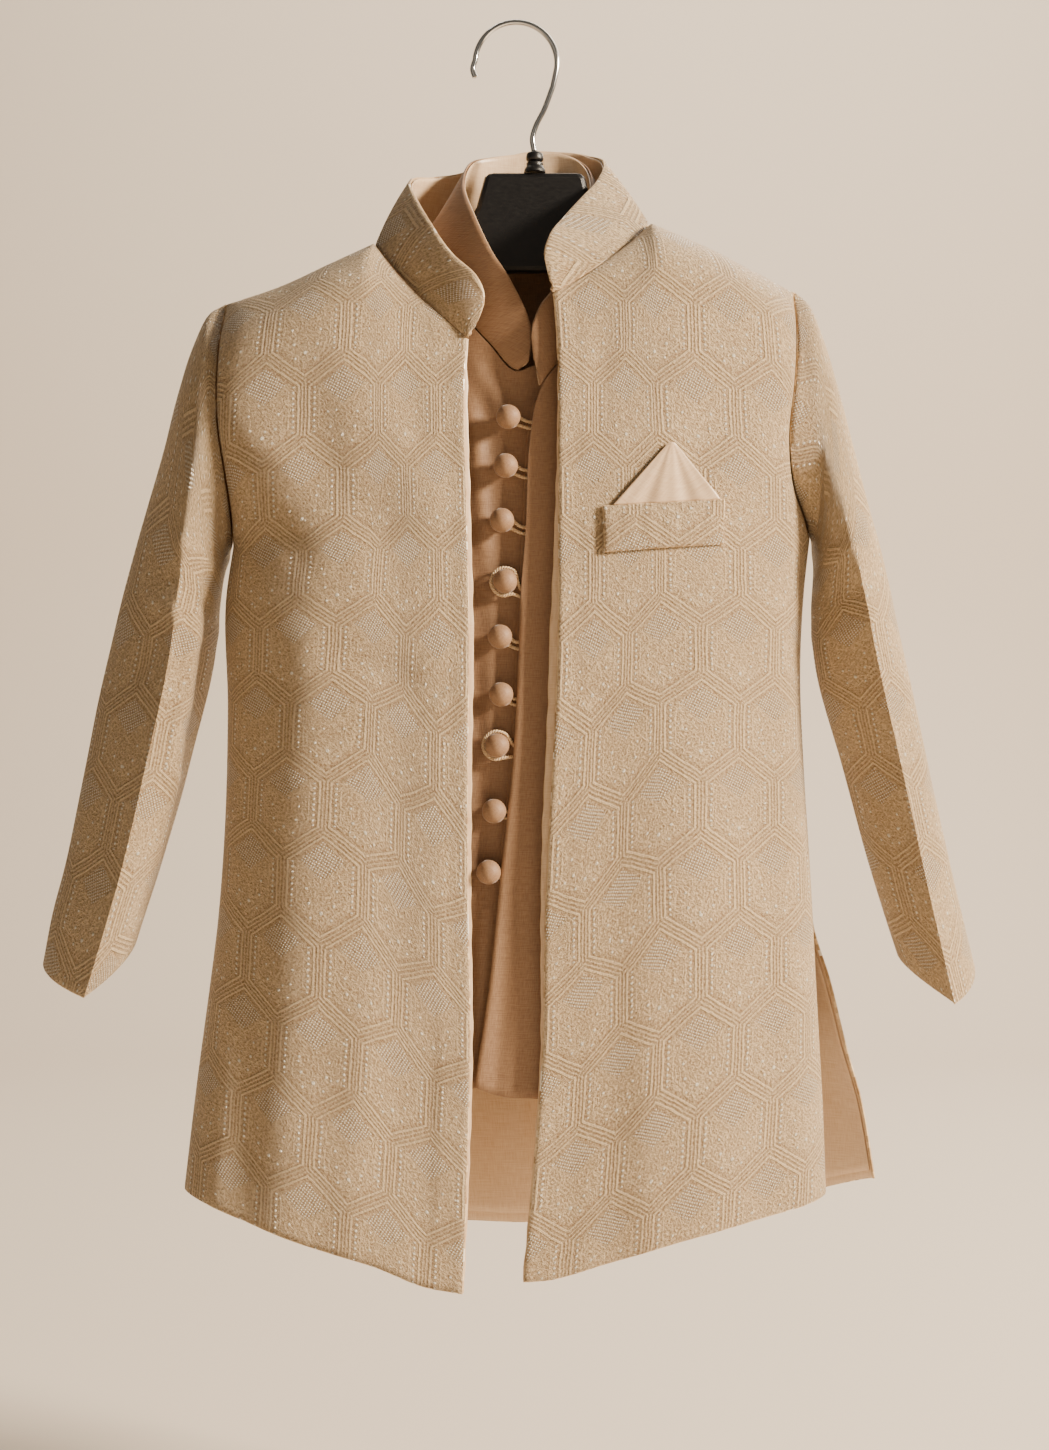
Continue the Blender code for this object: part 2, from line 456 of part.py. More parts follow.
def wall(name, face, normal, thickness, material, closed=False, sunk=0.0):
    """A closed cloth wall: its outer face lies sunk below the given face, the inner one further in."""
    outer = face - normal * sunk
    inner = face - normal * (sunk + thickness)
    rows, cols = face.shape[:2]
    count = rows * cols
    verts = np.vstack((outer.reshape(-1, 3), inner.reshape(-1, 3)))
    spans = cols if closed else cols - 1
    faces = []
    for r in range(rows - 1):
        for c in range(spans):
            a = r * cols + c
            b = r * cols + (c + 1) % cols
            faces.append((a, b, b + cols, a + cols))
            faces.append((count + a, count + a + cols, count + b + cols, count + b))
    for c in range(spans):
        for r in (0, rows - 1):
            a = r * cols + c
            b = r * cols + (c + 1) % cols
            faces.append((a, count + a, count + b, b))
    if not closed:
        for r in range(rows - 1):
            for c in (0, cols - 1):
                a = r * cols + c
                faces.append((a, a + cols, count + a + cols, count + a))
    return mesh_object(name, verts.tolist(), faces, material)


def ring_of_sleeve(row, half_count):
    """One ring of a sleeve, from its outer side over the front crease, then back behind."""
    x_out, z_out, x_in, z_in, deep, sharp, crease, drop = row
    half = np.array((x_out - x_in, z_out - z_in)) / 2
    middle = np.array((x_out + x_in, z_out + z_in)) / 2
    ring = []
    for j in range(2 * half_count):
        front = j <= half_count
        t = math.cos(math.pi * j / half_count)
        bulge = (1 - sharp) * math.sqrt(1 - t * t) + sharp * (1 - abs(t)) ** FACET_POWER
        place = t + (crease if front else crease / 2) * (1 - t * t)
        x, z = middle + half * place
        y = -deep * bulge if front else deep * SLEEVE_BACK * bulge
        fall = drop * bulge if front else -drop * DROP_BACK * bulge
        ring.append((x, y, z - fall))
    return ring


def sleeve(name, rings, front, back, side, material):
    """A set-in sleeve: its first ring is the armhole of the front and the back, moved out."""
    armhole_steps = STEPS["jacket"][2]
    hole_front = front[:armhole_steps + 1, -1]
    hole_back = back[:armhole_steps + 1, 0 if side < 0 else -1]
    loop = np.vstack((hole_front, hole_back[armhole_steps - 1:0:-1]))
    loop = loop + np.array((side * SLEEVE_GAP, 0.0, 0.0))
    grid = np.array([loop] + [ring_of_sleeve(row, armhole_steps) for row in rings])
    wall(name, grid, normals(grid, from_axis(grid), closed=True), BROCADE, material, closed=True)


def neck_seam(front_r, back, front_l, kind):
    """Points round the neck on the edges of the three panels, closer at the collar's two ends."""
    skip = OVERLAP_STEPS[kind]
    neck_steps, shoulder_steps = STEPS[kind][:2]
    behind = back[0, shoulder_steps + 1:shoulder_steps + neck_steps]
    corners = np.vstack((front_r[0, skip:neck_steps + 1], behind, front_l[0, neck_steps::-1]))
    seam = [corners[0]]
    last = len(corners) - 2
    for k in range(last + 1):
        cuts = END_CUTS if k in (0, last) else SEAM_CUTS
        seam += [corners[k] + (corners[k + 1] - corners[k]) * c / cuts for c in range(1, cuts + 1)]
    return np.array(seam)


def collar_face(kind, seam, top_rows):
    """Outer face of a stand collar: three rows between the neck seam and its top edge."""
    step = np.linalg.norm(np.diff(seam, axis=0), axis=1)
    where = np.concatenate(([0.0], np.cumsum(step))) / step.sum()
    top = through([row[1:] for row in top_rows], where, [row[0] for row in top_rows])
    rise = top - seam
    foot = seam + COLLAR_GAP[kind] * rise / np.linalg.norm(rise, axis=1)[:, None]
    away = seam - seam.mean(axis=0)
    away[:, 2] = 0
    away /= np.linalg.norm(away, axis=1)[:, None]
    return np.array([foot, (foot + top) / 2 + away * COLLAR_BULGE[kind], top])


def surface(grid):
    """A ray target made from a face grid, to seat pieces on it."""
    rows, cols = grid.shape[:2]
    faces = [(r * cols + c, r * cols + c + 1, (r + 1) * cols + c + 1, (r + 1) * cols + c)
             for r in range(rows - 1) for c in range(cols - 1)]
    return BVHTree.FromPolygons([Vector(p) for p in grid.reshape(-1, 3)], faces)


def depth_at(target, x, z):
    """Depth of a front face at x, z, met from before it."""
    hit = target.ray_cast(Vector((x, BEFORE_ALL, z)), Vector((0.0, 1.0, 0.0)))
    return hit[0].y


def seated_patch(target, corners, steps, lift):
    """A grid between four corners that lies on a face, lifted off it."""
    across, down = steps
    a, b, c, d = [np.array(corner) for corner in corners]
    grid = np.zeros((down + 1, across + 1, 3))
    for r in range(down + 1):
        for k in range(across + 1):
            s = k / across
            t = r / down
            x, z = (1 - t) * ((1 - s) * a + s * b) + t * ((1 - s) * d + s * c)
            grid[r, k] = (x, depth_at(target, x, z) - lift, z)
    return grid


def facing(name, panel, reach, side, material):
    """Satin strip inside a front edge, which stands past the brocade by a changing reach."""
    normal = normals(panel, FORWARD)[:, :FACING_COLUMNS + 1]
    strip = panel[:, :FACING_COLUMNS + 1].copy()
    zs = [-row[0] for row in reach]
    strip[:, 0, 0] -= side * np.interp(-strip[:, 0, 2], zs, [row[1] for row in reach])
    wall(name, strip, normal, SATIN, material, sunk=BROCADE + SEAM_GAP)


def turned_in(grid):
    """The same grid with its foot and sides drawn in, which leaves the cloth's turned edge to show."""
    drawn = grid.copy()
    drawn[-1] += (grid[-2] - grid[-1]) * TURN_IN_HEM
    drawn[:, 0] += (drawn[:, 1] - drawn[:, 0]) * TURN_IN_SIDE
    drawn[:, -1] += (drawn[:, -2] - drawn[:, -1]) * TURN_IN_SIDE
    return drawn


def turned(name, centre, profile, material):
    """A solid of revolution about a vertical axis."""
    segments = NECK_SIDES
    verts = []
    faces = []
    inner = profile[1:-1]
    for radius, z in inner:
        for k in range(segments):
            angle = 2 * math.pi * k / segments
            verts.append((centre + radius * math.cos(angle), radius * math.sin(angle), z))
    bottom = len(verts)
    verts.append((centre, 0.0, profile[0][1]))
    verts.append((centre, 0.0, profile[-1][1]))
    for r in range(len(inner) - 1):
        for k in range(segments):
            n = (k + 1) % segments
            faces.append((r * segments + k, r * segments + n, (r + 1) * segments + n, (r + 1) * segments + k))
    last = (len(inner) - 1) * segments
    for k in range(segments):
        n = (k + 1) % segments
        faces.append((bottom, n, k))
        faces.append((bottom + 1, last + k, last + n))
    return mesh_object(name, verts, faces, material)


def tube(name, points, radius, material):
    """A round cord or wire along points in millimetres."""
    curve = bpy.data.curves.new(name, "CURVE")
    curve.dimensions = "3D"
    curve.bevel_depth = radius * MM
    curve.bevel_resolution = ROUND_SIDES
    curve.use_fill_caps = True
    line = curve.splines.new("POLY")
    line.points.add(len(points) - 1)
    for slot, point in zip(line.points, points):
        slot.co = (point[0] * MM, point[1] * MM, point[2] * MM, 1.0)
    curve.materials.append(material)
    thing = bpy.data.objects.new(name, curve)
    bpy.context.collection.objects.link(thing)
    return thing


def ball_button(number, x, y_cloth, z, material):
    """A cloth ball on a short shank, one solid turned about the depth axis."""
    rims = [(SHANK_RADIUS, SEAM_GAP), (SHANK_RADIUS, BALL_REACH - BALL_RADIUS * SHANK_INSIDE)]
    for k in range(1, BALL_RINGS):
        angle = math.radians(SHANK_ANGLE + (180 - SHANK_ANGLE) * k / BALL_RINGS)
        rims.append((BALL_RADIUS * math.sin(angle), BALL_REACH - BALL_RADIUS * math.cos(angle)))
    around = BALL_SIDES
    verts = []
    for radius, out in rims:
        for k in range(around):
            angle = 2 * math.pi * k / around
            verts.append((x + radius * math.cos(angle), y_cloth - out, z + radius * math.sin(angle)))
    tip = len(verts)
    verts.append((x, y_cloth - BALL_REACH - BALL_RADIUS, z))
    faces = [tuple(range(around))]
    for r in range(len(rims) - 1):
        for k in range(around):
            n = (k + 1) % around
            faces.append((r * around + k, (r + 1) * around + k, (r + 1) * around + n, r * around + n))
    last = (len(rims) - 1) * around
    for k in range(around):
        faces.append((last + k, tip, last + (k + 1) % around))
    return mesh_object("button_%d" % number, verts, faces, material)


def loop_route(x, z, y_cloth, x_edge, y_strip, radius, upper, lower):
    """Route of a cord loop: out from under the flap's edge, round the button and back."""
    y_near = y_cloth - CORD_RADIUS - SEAM_GAP - LOOP_LIFT - max(0.0, radius - SNUG_RADIUS) * WIDE_LIFT
    y_far = y_strip - CORD_RADIUS - SEAM_GAP
    starts = [(x_edge + LOOP_ROOT, y_far, z + height) for height in (upper, lower)]
    x_lip = x_edge + STRIP_REACH[0] - LIP_REACH
    lips = [(x_lip, y_far, z + height * LIP_HEIGHT) for height in (upper, lower)]
    turn = [(x + radius * math.cos(a), y_near, z + radius * math.sin(a))
            for a in np.radians(TURN_START + TURN_SWEEP * evenly(TURN_STEPS))]
    if x_lip < x + radius + LIP_ROOM:
        lips = [(start[0] - LIP_ROOM, y_far, start[2]) for start in starts]
    return [starts[0], lips[0]] + turn + [lips[1], starts[1]]


def clear_scene():
    for thing in list(bpy.data.objects):
        bpy.data.objects.remove(thing, do_unlink=True)


def make_materials():
    made = {}
    for name, colour in COLOURS.items():
        material = bpy.data.materials.new(name)
        material.use_nodes = True
        shader = material.node_tree.nodes["Principled BSDF"]
        shader.inputs["Base Color"].default_value = (*colour, 1.0)
        shader.inputs["Roughness"].default_value = ROUGHNESS[name]
        shader.inputs["Metallic"].default_value = 1.0 if name == "steel" else 0.0
        material.diffuse_color = (*colour, 1.0)
        made[name] = material
    return made


def make_jacket(cloth):
    front_r = front_panel("jacket", EDGE_R, NECK_R, SHOULDER_R, ARMHOLE_R, SIDE_R, HEM_R, FOLDS_R)
    front_l = front_panel("jacket", EDGE_L, NECK_L, SHOULDER_L, ARMHOLE_L, SIDE_L, HEM_L, FOLDS_L)
    back = back_panel("jacket", BACK_NECK, (SHOULDER_R, SHOULDER_L), (ARMHOLE_R, ARMHOLE_L),
                      (SIDE_R, SIDE_L), HEM_BACK, BACK_DEPTH, FOLDS_BACK)
    back_normal = normals(back, -FORWARD, flat=back_seams("jacket"))
    wall("jacket_front_r", front_r, normals(front_r, FORWARD, flat=front_seams("jacket")), BROCADE,
         cloth["brocade"])
    wall("jacket_front_l", front_l, normals(front_l, FORWARD, flat=front_seams("jacket")), BROCADE,
         cloth["brocade"])
    wall("jacket_back", back, back_normal, BROCADE, cloth["brocade"])
    sleeve("jacket_sleeve_r", SLEEVE_R, front_r, back, -1, cloth["brocade"])
    sleeve("jacket_sleeve_l", SLEEVE_L, front_l, back, 1, cloth["brocade"])
    facing("facing_r", front_r, FACING_REACH_R, -1, cloth["satin"])
    facing("facing_l", front_l, FACING_REACH_L, 1, cloth["satin"])
    first = int(LINING_TOP * (back.shape[0] - 1))
    wall("back_lining", turned_in(back[first:]), turned_in(back_normal[first:]), SATIN, cloth["satin"],
         sunk=BROCADE + SEAM_GAP)
    collar = collar_face("jacket", neck_seam(front_r, back, front_l, "jacket"), COLLAR_TOP)
    away = normals(collar, from_axis(collar))
    wall("jacket_collar", collar, away, COLLAR_WALL, cloth["brocade"])
    wall("jacket_collar_lining", collar, away, SATIN, cloth["satin"], sunk=COLLAR_WALL + SEAM_GAP)
    return front_l


def make_pocket(front_l, cloth):
    target = surface(front_l)
    welt = seated_patch(target, WELT_CORNERS, WELT_STEPS, SEAM_GAP + WELT_WALL)
    wall("pocket_welt", welt, normals(welt, FORWARD), WELT_WALL, cloth["brocade"])
    left, right, tip = SQUARE_CORNERS
    tip_l = tuple(t + (a - t) * SQUARE_TIP for a, t in zip(left, tip))
    tip_r = tuple(t + (a - t) * SQUARE_TIP for a, t in zip(right, tip))
    square = seated_patch(target, (tip_l, tip_r, right, left), SQUARE_STEPS, SEAM_GAP + SATIN)
    wall("pocket_square", square, normals(square, FORWARD), SATIN, cloth["satin"])


def make_inner_layer(cloth):
    under = front_panel("inner", UNDER_EDGE, INNER_NECK_R, INNER_SHOULDER_R, INNER_ARMHOLE_R, INNER_SIDE_R,
                        INNER_HEM_R, FOLDS_INNER_R)
    flap = front_panel("inner", FLAP_EDGE, INNER_NECK_L, INNER_SHOULDER_L, INNER_ARMHOLE_L, INNER_SIDE_L,
                       INNER_HEM_L, [])
    back = back_panel("inner", INNER_BACK_NECK, (INNER_SHOULDER_R, INNER_SHOULDER_L),
                      (INNER_ARMHOLE_R, INNER_ARMHOLE_L), (INNER_SIDE_R, INNER_SIDE_L),
                      INNER_HEM_BACK, INNER_BACK_DEPTH, [])
    wall("inner_front_r", under, normals(under, FORWARD, flat=front_seams("inner")), SILK, cloth["silk"])
    wall("inner_front_l", flap, normals(flap, FORWARD, flat=front_seams("inner")), SILK, cloth["silk"])
    wall("inner_back", back, normals(back, -FORWARD, flat=back_seams("inner")), SILK, cloth["silk"])
    collar = collar_face("inner", neck_seam(under, back, flap, "inner"), INNER_COLLAR_TOP)
    away = normals(collar, from_axis(collar))
    wall("inner_collar", collar, away, SILK, cloth["silk"])
    wall("inner_collar_lining", collar, away, SATIN, cloth["satin"], sunk=SILK + SEAM_GAP)
    return under, flap


def make_fastening(under, flap, cloth):
    target = surface(under)
    edge_z = -flap[:, 0, 2]
    edge_x = flap[:, 0, 0]
    strip = np.zeros((STRIP_STEPS + 1, len(STRIP_REACH), 3))
    for r, z in enumerate(np.linspace(*STRIP_ENDS, STRIP_STEPS + 1)):
        for c, reach in enumerate(STRIP_REACH):
            x = np.interp(-z, edge_z, edge_x) + reach
            strip[r, c] = (x, depth_at(target, x, z) - SEAM_GAP - SATIN, z)
    wall("loop_strip", strip, normals(strip, FORWARD), SATIN, cloth["silk"])
    for number, (x, z, radius, upper, lower) in enumerate(BUTTONS, 1):
        aside = (-SHANK_SEAT, 0.0, SHANK_SEAT)
        seat = [(dx, dz) for dx in aside for dz in aside]
        y_cloth = min(depth_at(target, x + dx, z + dz) for dx, dz in seat)
        ball_button(number, x, y_cloth, z, cloth["silk"])
        x_edge = np.interp(-z, edge_z, edge_x)
        y_strip = min(depth_at(target, x_edge + reach, z) for reach in STRIP_REACH) - SEAM_GAP - SATIN
        tube("loop_%d" % number, loop_route(x, z, y_cloth, x_edge, y_strip, radius, upper, lower),
             CORD_RADIUS, cloth["cord"])


def make_hanger(cloth):
    outline = [(HANGER_CENTRE + d, z) for d, z in PLATE_HALF]
    outline += [(HANGER_CENTRE - d, z) for d, z in reversed(PLATE_HALF)]
    count = len(outline)
    half = PLATE_DEPTH / 2
    verts = [(x, -half, z) for x, z in outline] + [(x, half, z) for x, z in outline]
    faces = [tuple(range(count)), tuple(range(2 * count - 1, count - 1, -1))]
    faces += [(k, (k + 1) % count, count + (k + 1) % count, count + k) for k in range(count)]
    plate = mesh_object("hanger_body", verts, faces, cloth["plastic"], smooth=False)
    rounding = plate.modifiers.new("rounded rim", "BEVEL")
    rounding.width = PLATE_RIM * MM
    rounding.segments = 2
    rounding.limit_method = "ANGLE"
    turned("hanger_neck", HANGER_CENTRE, NECK_PROFILE, cloth["plastic"])
    arc_centre = WIRE_RADIUS - HOOK_RADIUS
    turn = np.radians(HOOK_ARC_START + (HOOK_ARC_END - HOOK_ARC_START) * evenly(ARC_STEPS))
    route = [(x, 0.0, z) for x, z in through(HOOK_STEM, evenly(STEM_STEPS))]
    route += [(HOOK_RADIUS * math.cos(a), 0.0, arc_centre + HOOK_RADIUS * math.sin(a)) for a in turn]
    route += [(x, 0.0, z) for x, z in HOOK_TIP]
    tube("hanger_hook", route, WIRE_RADIUS, cloth["steel"])


def main():
    clear_scene()
    cloth = make_materials()
    front_l = make_jacket(cloth)
    make_pocket(front_l, cloth)
    under, flap = make_inner_layer(cloth)
    make_fastening(under, flap, cloth)
    make_hanger(cloth)


main()
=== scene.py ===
# %% [markdown]
# # A small boy's sherwani on a hanger
# This lesson dresses a measured solid model with cloth. The solid model gives the place of every
# piece. Each cell below makes one piece or one finish, and prints what it made.
# The coat is an open jacket in champagne brocade with a satin lining. Under it is a plain layer
# that closes with nine ball buttons and cord loops. It hangs from a black plastic hanger.

# %% Load the measured frame
import json
import math

import bmesh
import bpy
import numpy as np
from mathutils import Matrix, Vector
from mathutils.bvhtree import BVHTree

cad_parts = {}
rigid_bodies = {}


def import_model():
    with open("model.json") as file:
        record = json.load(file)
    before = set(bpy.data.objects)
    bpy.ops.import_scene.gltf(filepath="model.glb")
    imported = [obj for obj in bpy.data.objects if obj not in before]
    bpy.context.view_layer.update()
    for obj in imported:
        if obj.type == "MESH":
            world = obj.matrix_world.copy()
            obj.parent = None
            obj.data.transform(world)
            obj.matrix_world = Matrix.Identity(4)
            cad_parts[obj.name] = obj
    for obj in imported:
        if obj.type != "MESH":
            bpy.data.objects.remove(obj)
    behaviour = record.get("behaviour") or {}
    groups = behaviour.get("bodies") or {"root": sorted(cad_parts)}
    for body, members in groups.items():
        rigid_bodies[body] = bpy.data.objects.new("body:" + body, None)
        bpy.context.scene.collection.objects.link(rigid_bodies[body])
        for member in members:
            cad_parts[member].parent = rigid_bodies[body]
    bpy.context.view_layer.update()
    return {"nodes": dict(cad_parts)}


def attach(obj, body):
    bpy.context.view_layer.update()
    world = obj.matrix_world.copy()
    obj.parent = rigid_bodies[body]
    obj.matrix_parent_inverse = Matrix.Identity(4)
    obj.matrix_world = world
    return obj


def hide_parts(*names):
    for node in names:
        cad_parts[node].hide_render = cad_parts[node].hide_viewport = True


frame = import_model()
print("nodes in the frame:", len(frame["nodes"]))

# %% [markdown]
# ## Camera
# The photograph was taken level with the middle of the coat, from about a metre away.
# A near camera makes the hem and the hook look a little smaller than the chest, so the distance
# matters as much as the angle. Depth of field stays off, because every seam should be sharp.

# %% Camera
LENS_HEIGHT = -0.3556
LENS_ASIDE = 0.0043
LENS_AWAY = 1.0
HALF_HEIGHT = 0.3683

lens = bpy.data.cameras.new("camera")
lens.sensor_fit = "VERTICAL"
lens.angle_y = 2 * math.atan(HALF_HEIGHT / LENS_AWAY)
camera = bpy.data.objects.new("camera", lens)
camera.location = (LENS_ASIDE, -LENS_AWAY, LENS_HEIGHT)
camera.rotation_euler = (math.radians(90), 0, 0)
bpy.context.collection.objects.link(camera)
bpy.context.scene.camera = camera
print("vertical angle of view: %.1f degrees" % math.degrees(lens.angle_y))

# %% [markdown]
# ## Colours and nodes
# A colour picked on a screen is stored with a curve, and the renderer counts in straight light.
# One function turns a hex value into straight light, so every colour below can be read as on a web
# page. A second function adds a node, sets it up and links it, so a material reads like a recipe.

# %% Two helpers for finishes
def colour(text):
    """Straight light from an sRGB hex value."""
    parts = [int(text[k:k + 2], 16) / 255 for k in (1, 3, 5)]
    return [p / 12.92 if p <= 0.04045 else ((p + 0.055) / 1.055) ** 2.4 for p in parts] + [1.0]


def add(tree, kind, sockets=(), **settings):
    """Adds a node: sockets are constants, or nodes and outputs to link, by place or by name."""
    node = tree.nodes.new(kind)
    for name, value in settings.items():
        setattr(node, name, value)
    pairs = sockets.items() if isinstance(sockets, dict) else enumerate(sockets)
    for place, value in pairs:
        if isinstance(value, bpy.types.Node):
            value = value.outputs[0]
        if isinstance(value, bpy.types.NodeSocket):
            tree.links.new(value, node.inputs[place])
        else:
            node.inputs[place].default_value = value
    return node


def finish(name):
    """An empty material with its tree and its shader."""
    material = bpy.data.materials.new(name)
    material.use_nodes = True
    return material, material.node_tree, material.node_tree.nodes["Principled BSDF"]


print("peach satin in straight light:", [round(v, 3) for v in colour("#DDBFA4")[:3]])

# %% [markdown]
# ## Jacquard brocade
# Brocade is woven with a second set of threads that floats over the ground and draws the pattern.
# The floats are smooth and partly metallic, so they shine, while the ground between them is matt
# and a little darker. Their pale metal threads are also given a near-white colour, which is a painted
# glint on top of their own tone. A painted pattern would look flat. Here the pattern is a distance in
# millimetres, read from the cloth's own flat coordinates, and it drives colour, gloss and height
# together. The pattern is a common honeycomb: tall hexagons with a double outline, a row of beads
# inside the upright sides, a diamond of fine dots at the top and scrolls below.

# %% Sizes of the honeycomb, in millimetres
CELL_WIDTH = 41.5
ROW_PITCH = 40.3
UPRIGHT = 25.8
RISE = ROW_PITCH - UPRIGHT
LEAN = 2 * RISE / CELL_WIDTH
SLANT = math.hypot(1, LEAN)
BEAD_IN = 5.5
BEAD_PITCH = 2.75
BEAD = 0.8
DIAMOND = (11.2, 9.2, 12.2)
DOT_PITCH = 2.1
SPOTS = [(0.0, -12.6, 1.1), (6.4, -8.6, 0.9), (5.2, -15.4, 0.8), (7.6, -1.4, 0.8)]
FLOWER = (-12.6, 5.2, 10.0)
print("honeycomb cell: %.1f by %.1f mm" % (CELL_WIDTH, UPRIGHT + 2 * RISE))

# %% [markdown]
# Every point of the cloth asks how far it is from the nearest band of the honeycomb. Folding the
# plane over and over, as with a ping-pong node, brings all cells onto one, so a single cell is
# worked out and the whole coat gets it.

# %% The honeycomb as a distance
def flat_place(tree, wander):
    """The place on the flat cloth in millimetres, with the small wander of a real weave."""
    cut = add(tree, "ShaderNodeUVMap", uv_map="cut")
    place = add(tree, "ShaderNodeVectorMath", {0: cut, "Scale": 1000.0}, operation="SCALE")
    drift = add(tree, "ShaderNodeTexNoise", {"Vector": place, "Scale": 0.09, "Detail": 2.0})
    moved = add(tree, "ShaderNodeVectorMath", (drift.outputs["Color"], (wander, wander, 0.0), place),
                operation="MULTIPLY_ADD")
    return place, moved


def honeycomb(tree, place):
    """How far a point is from the nearest band's middle, from the cell's upright axis, and its
    height above the cell's middle."""
    split = add(tree, "ShaderNodeSeparateXYZ", (place,))
    x, z = split.outputs[0], split.outputs[1]
    aside = add(tree, "ShaderNodeMath", (x, CELL_WIDTH / 2), operation="PINGPONG")
    above = add(tree, "ShaderNodeMath", (z, ROW_PITCH), operation="PINGPONG")
    roof = add(tree, "ShaderNodeMath", (aside, -LEAN, UPRIGHT / 2 + RISE), operation="MULTIPLY_ADD")
    to_slant = add(tree, "ShaderNodeMath", (roof, above), operation="SUBTRACT")
    own = add(tree, "ShaderNodeMath", (to_slant, 0.0), operation="GREATER_THAN")
    slant = add(tree, "ShaderNodeMath", (to_slant,), operation="ABSOLUTE")
    slant = add(tree, "ShaderNodeMath", (slant, SLANT), operation="DIVIDE")
    shifted = add(tree, "ShaderNodeMath", (own, CELL_WIDTH / 2, x), operation="MULTIPLY_ADD")
    upright = add(tree, "ShaderNodeMath", (shifted, CELL_WIDTH / 2), operation="PINGPONG")
    other = add(tree, "ShaderNodeMath", (own, -ROW_PITCH, z), operation="MULTIPLY_ADD")
    height = add(tree, "ShaderNodeMath", (other, 0.0, -2 * ROW_PITCH), operation="WRAP")
    height = add(tree, "ShaderNodeMath", (height, ROW_PITCH), operation="ADD")
    near = add(tree, "ShaderNodeMath", (upright, slant), operation="MINIMUM")
    return {"near": near, "upright": upright, "height": height, "x": x, "z": z}


print("a slanting band rises %.1f mm over half a cell" % RISE)

# %% [markdown]
# The next helper turns that distance into thread height. A colour ramp is a handy drawing tool:
# each pair of stops is one line of the outline, and moving a stop moves the line on the cloth.

# %% The raised threads of the pattern
OUTLINE = [(0.0, 0.15), (0.4, 0.2), (0.6, 0.7), (1.15, 0.7), (1.4, 0.25), (2.1, 0.2), (2.4, 1.0),
           (3.2, 1.0), (3.5, 0.2), (4.5, 0.22), (5.0, 0.36), (7.4, 0.36), (7.75, 0.7), (8.25, 0.7),
           (8.6, 0.36), (9.5, 0.4)]
REACH = 10.0


def spot(tree, across, height, x, z, radius):
    """A round dot with a soft rim at one place of the cell."""
    aside = add(tree, "ShaderNodeMath", (across, x), operation="SUBTRACT")
    above = add(tree, "ShaderNodeMath", (height, z), operation="SUBTRACT")
    square = add(tree, "ShaderNodeMath", (aside, aside), operation="MULTIPLY")
    square = add(tree, "ShaderNodeMath", (above, above, square), operation="MULTIPLY_ADD")
    return add(tree, "ShaderNodeMapRange", (square, radius ** 2, 0.3 * radius ** 2, 0.0, 1.0))


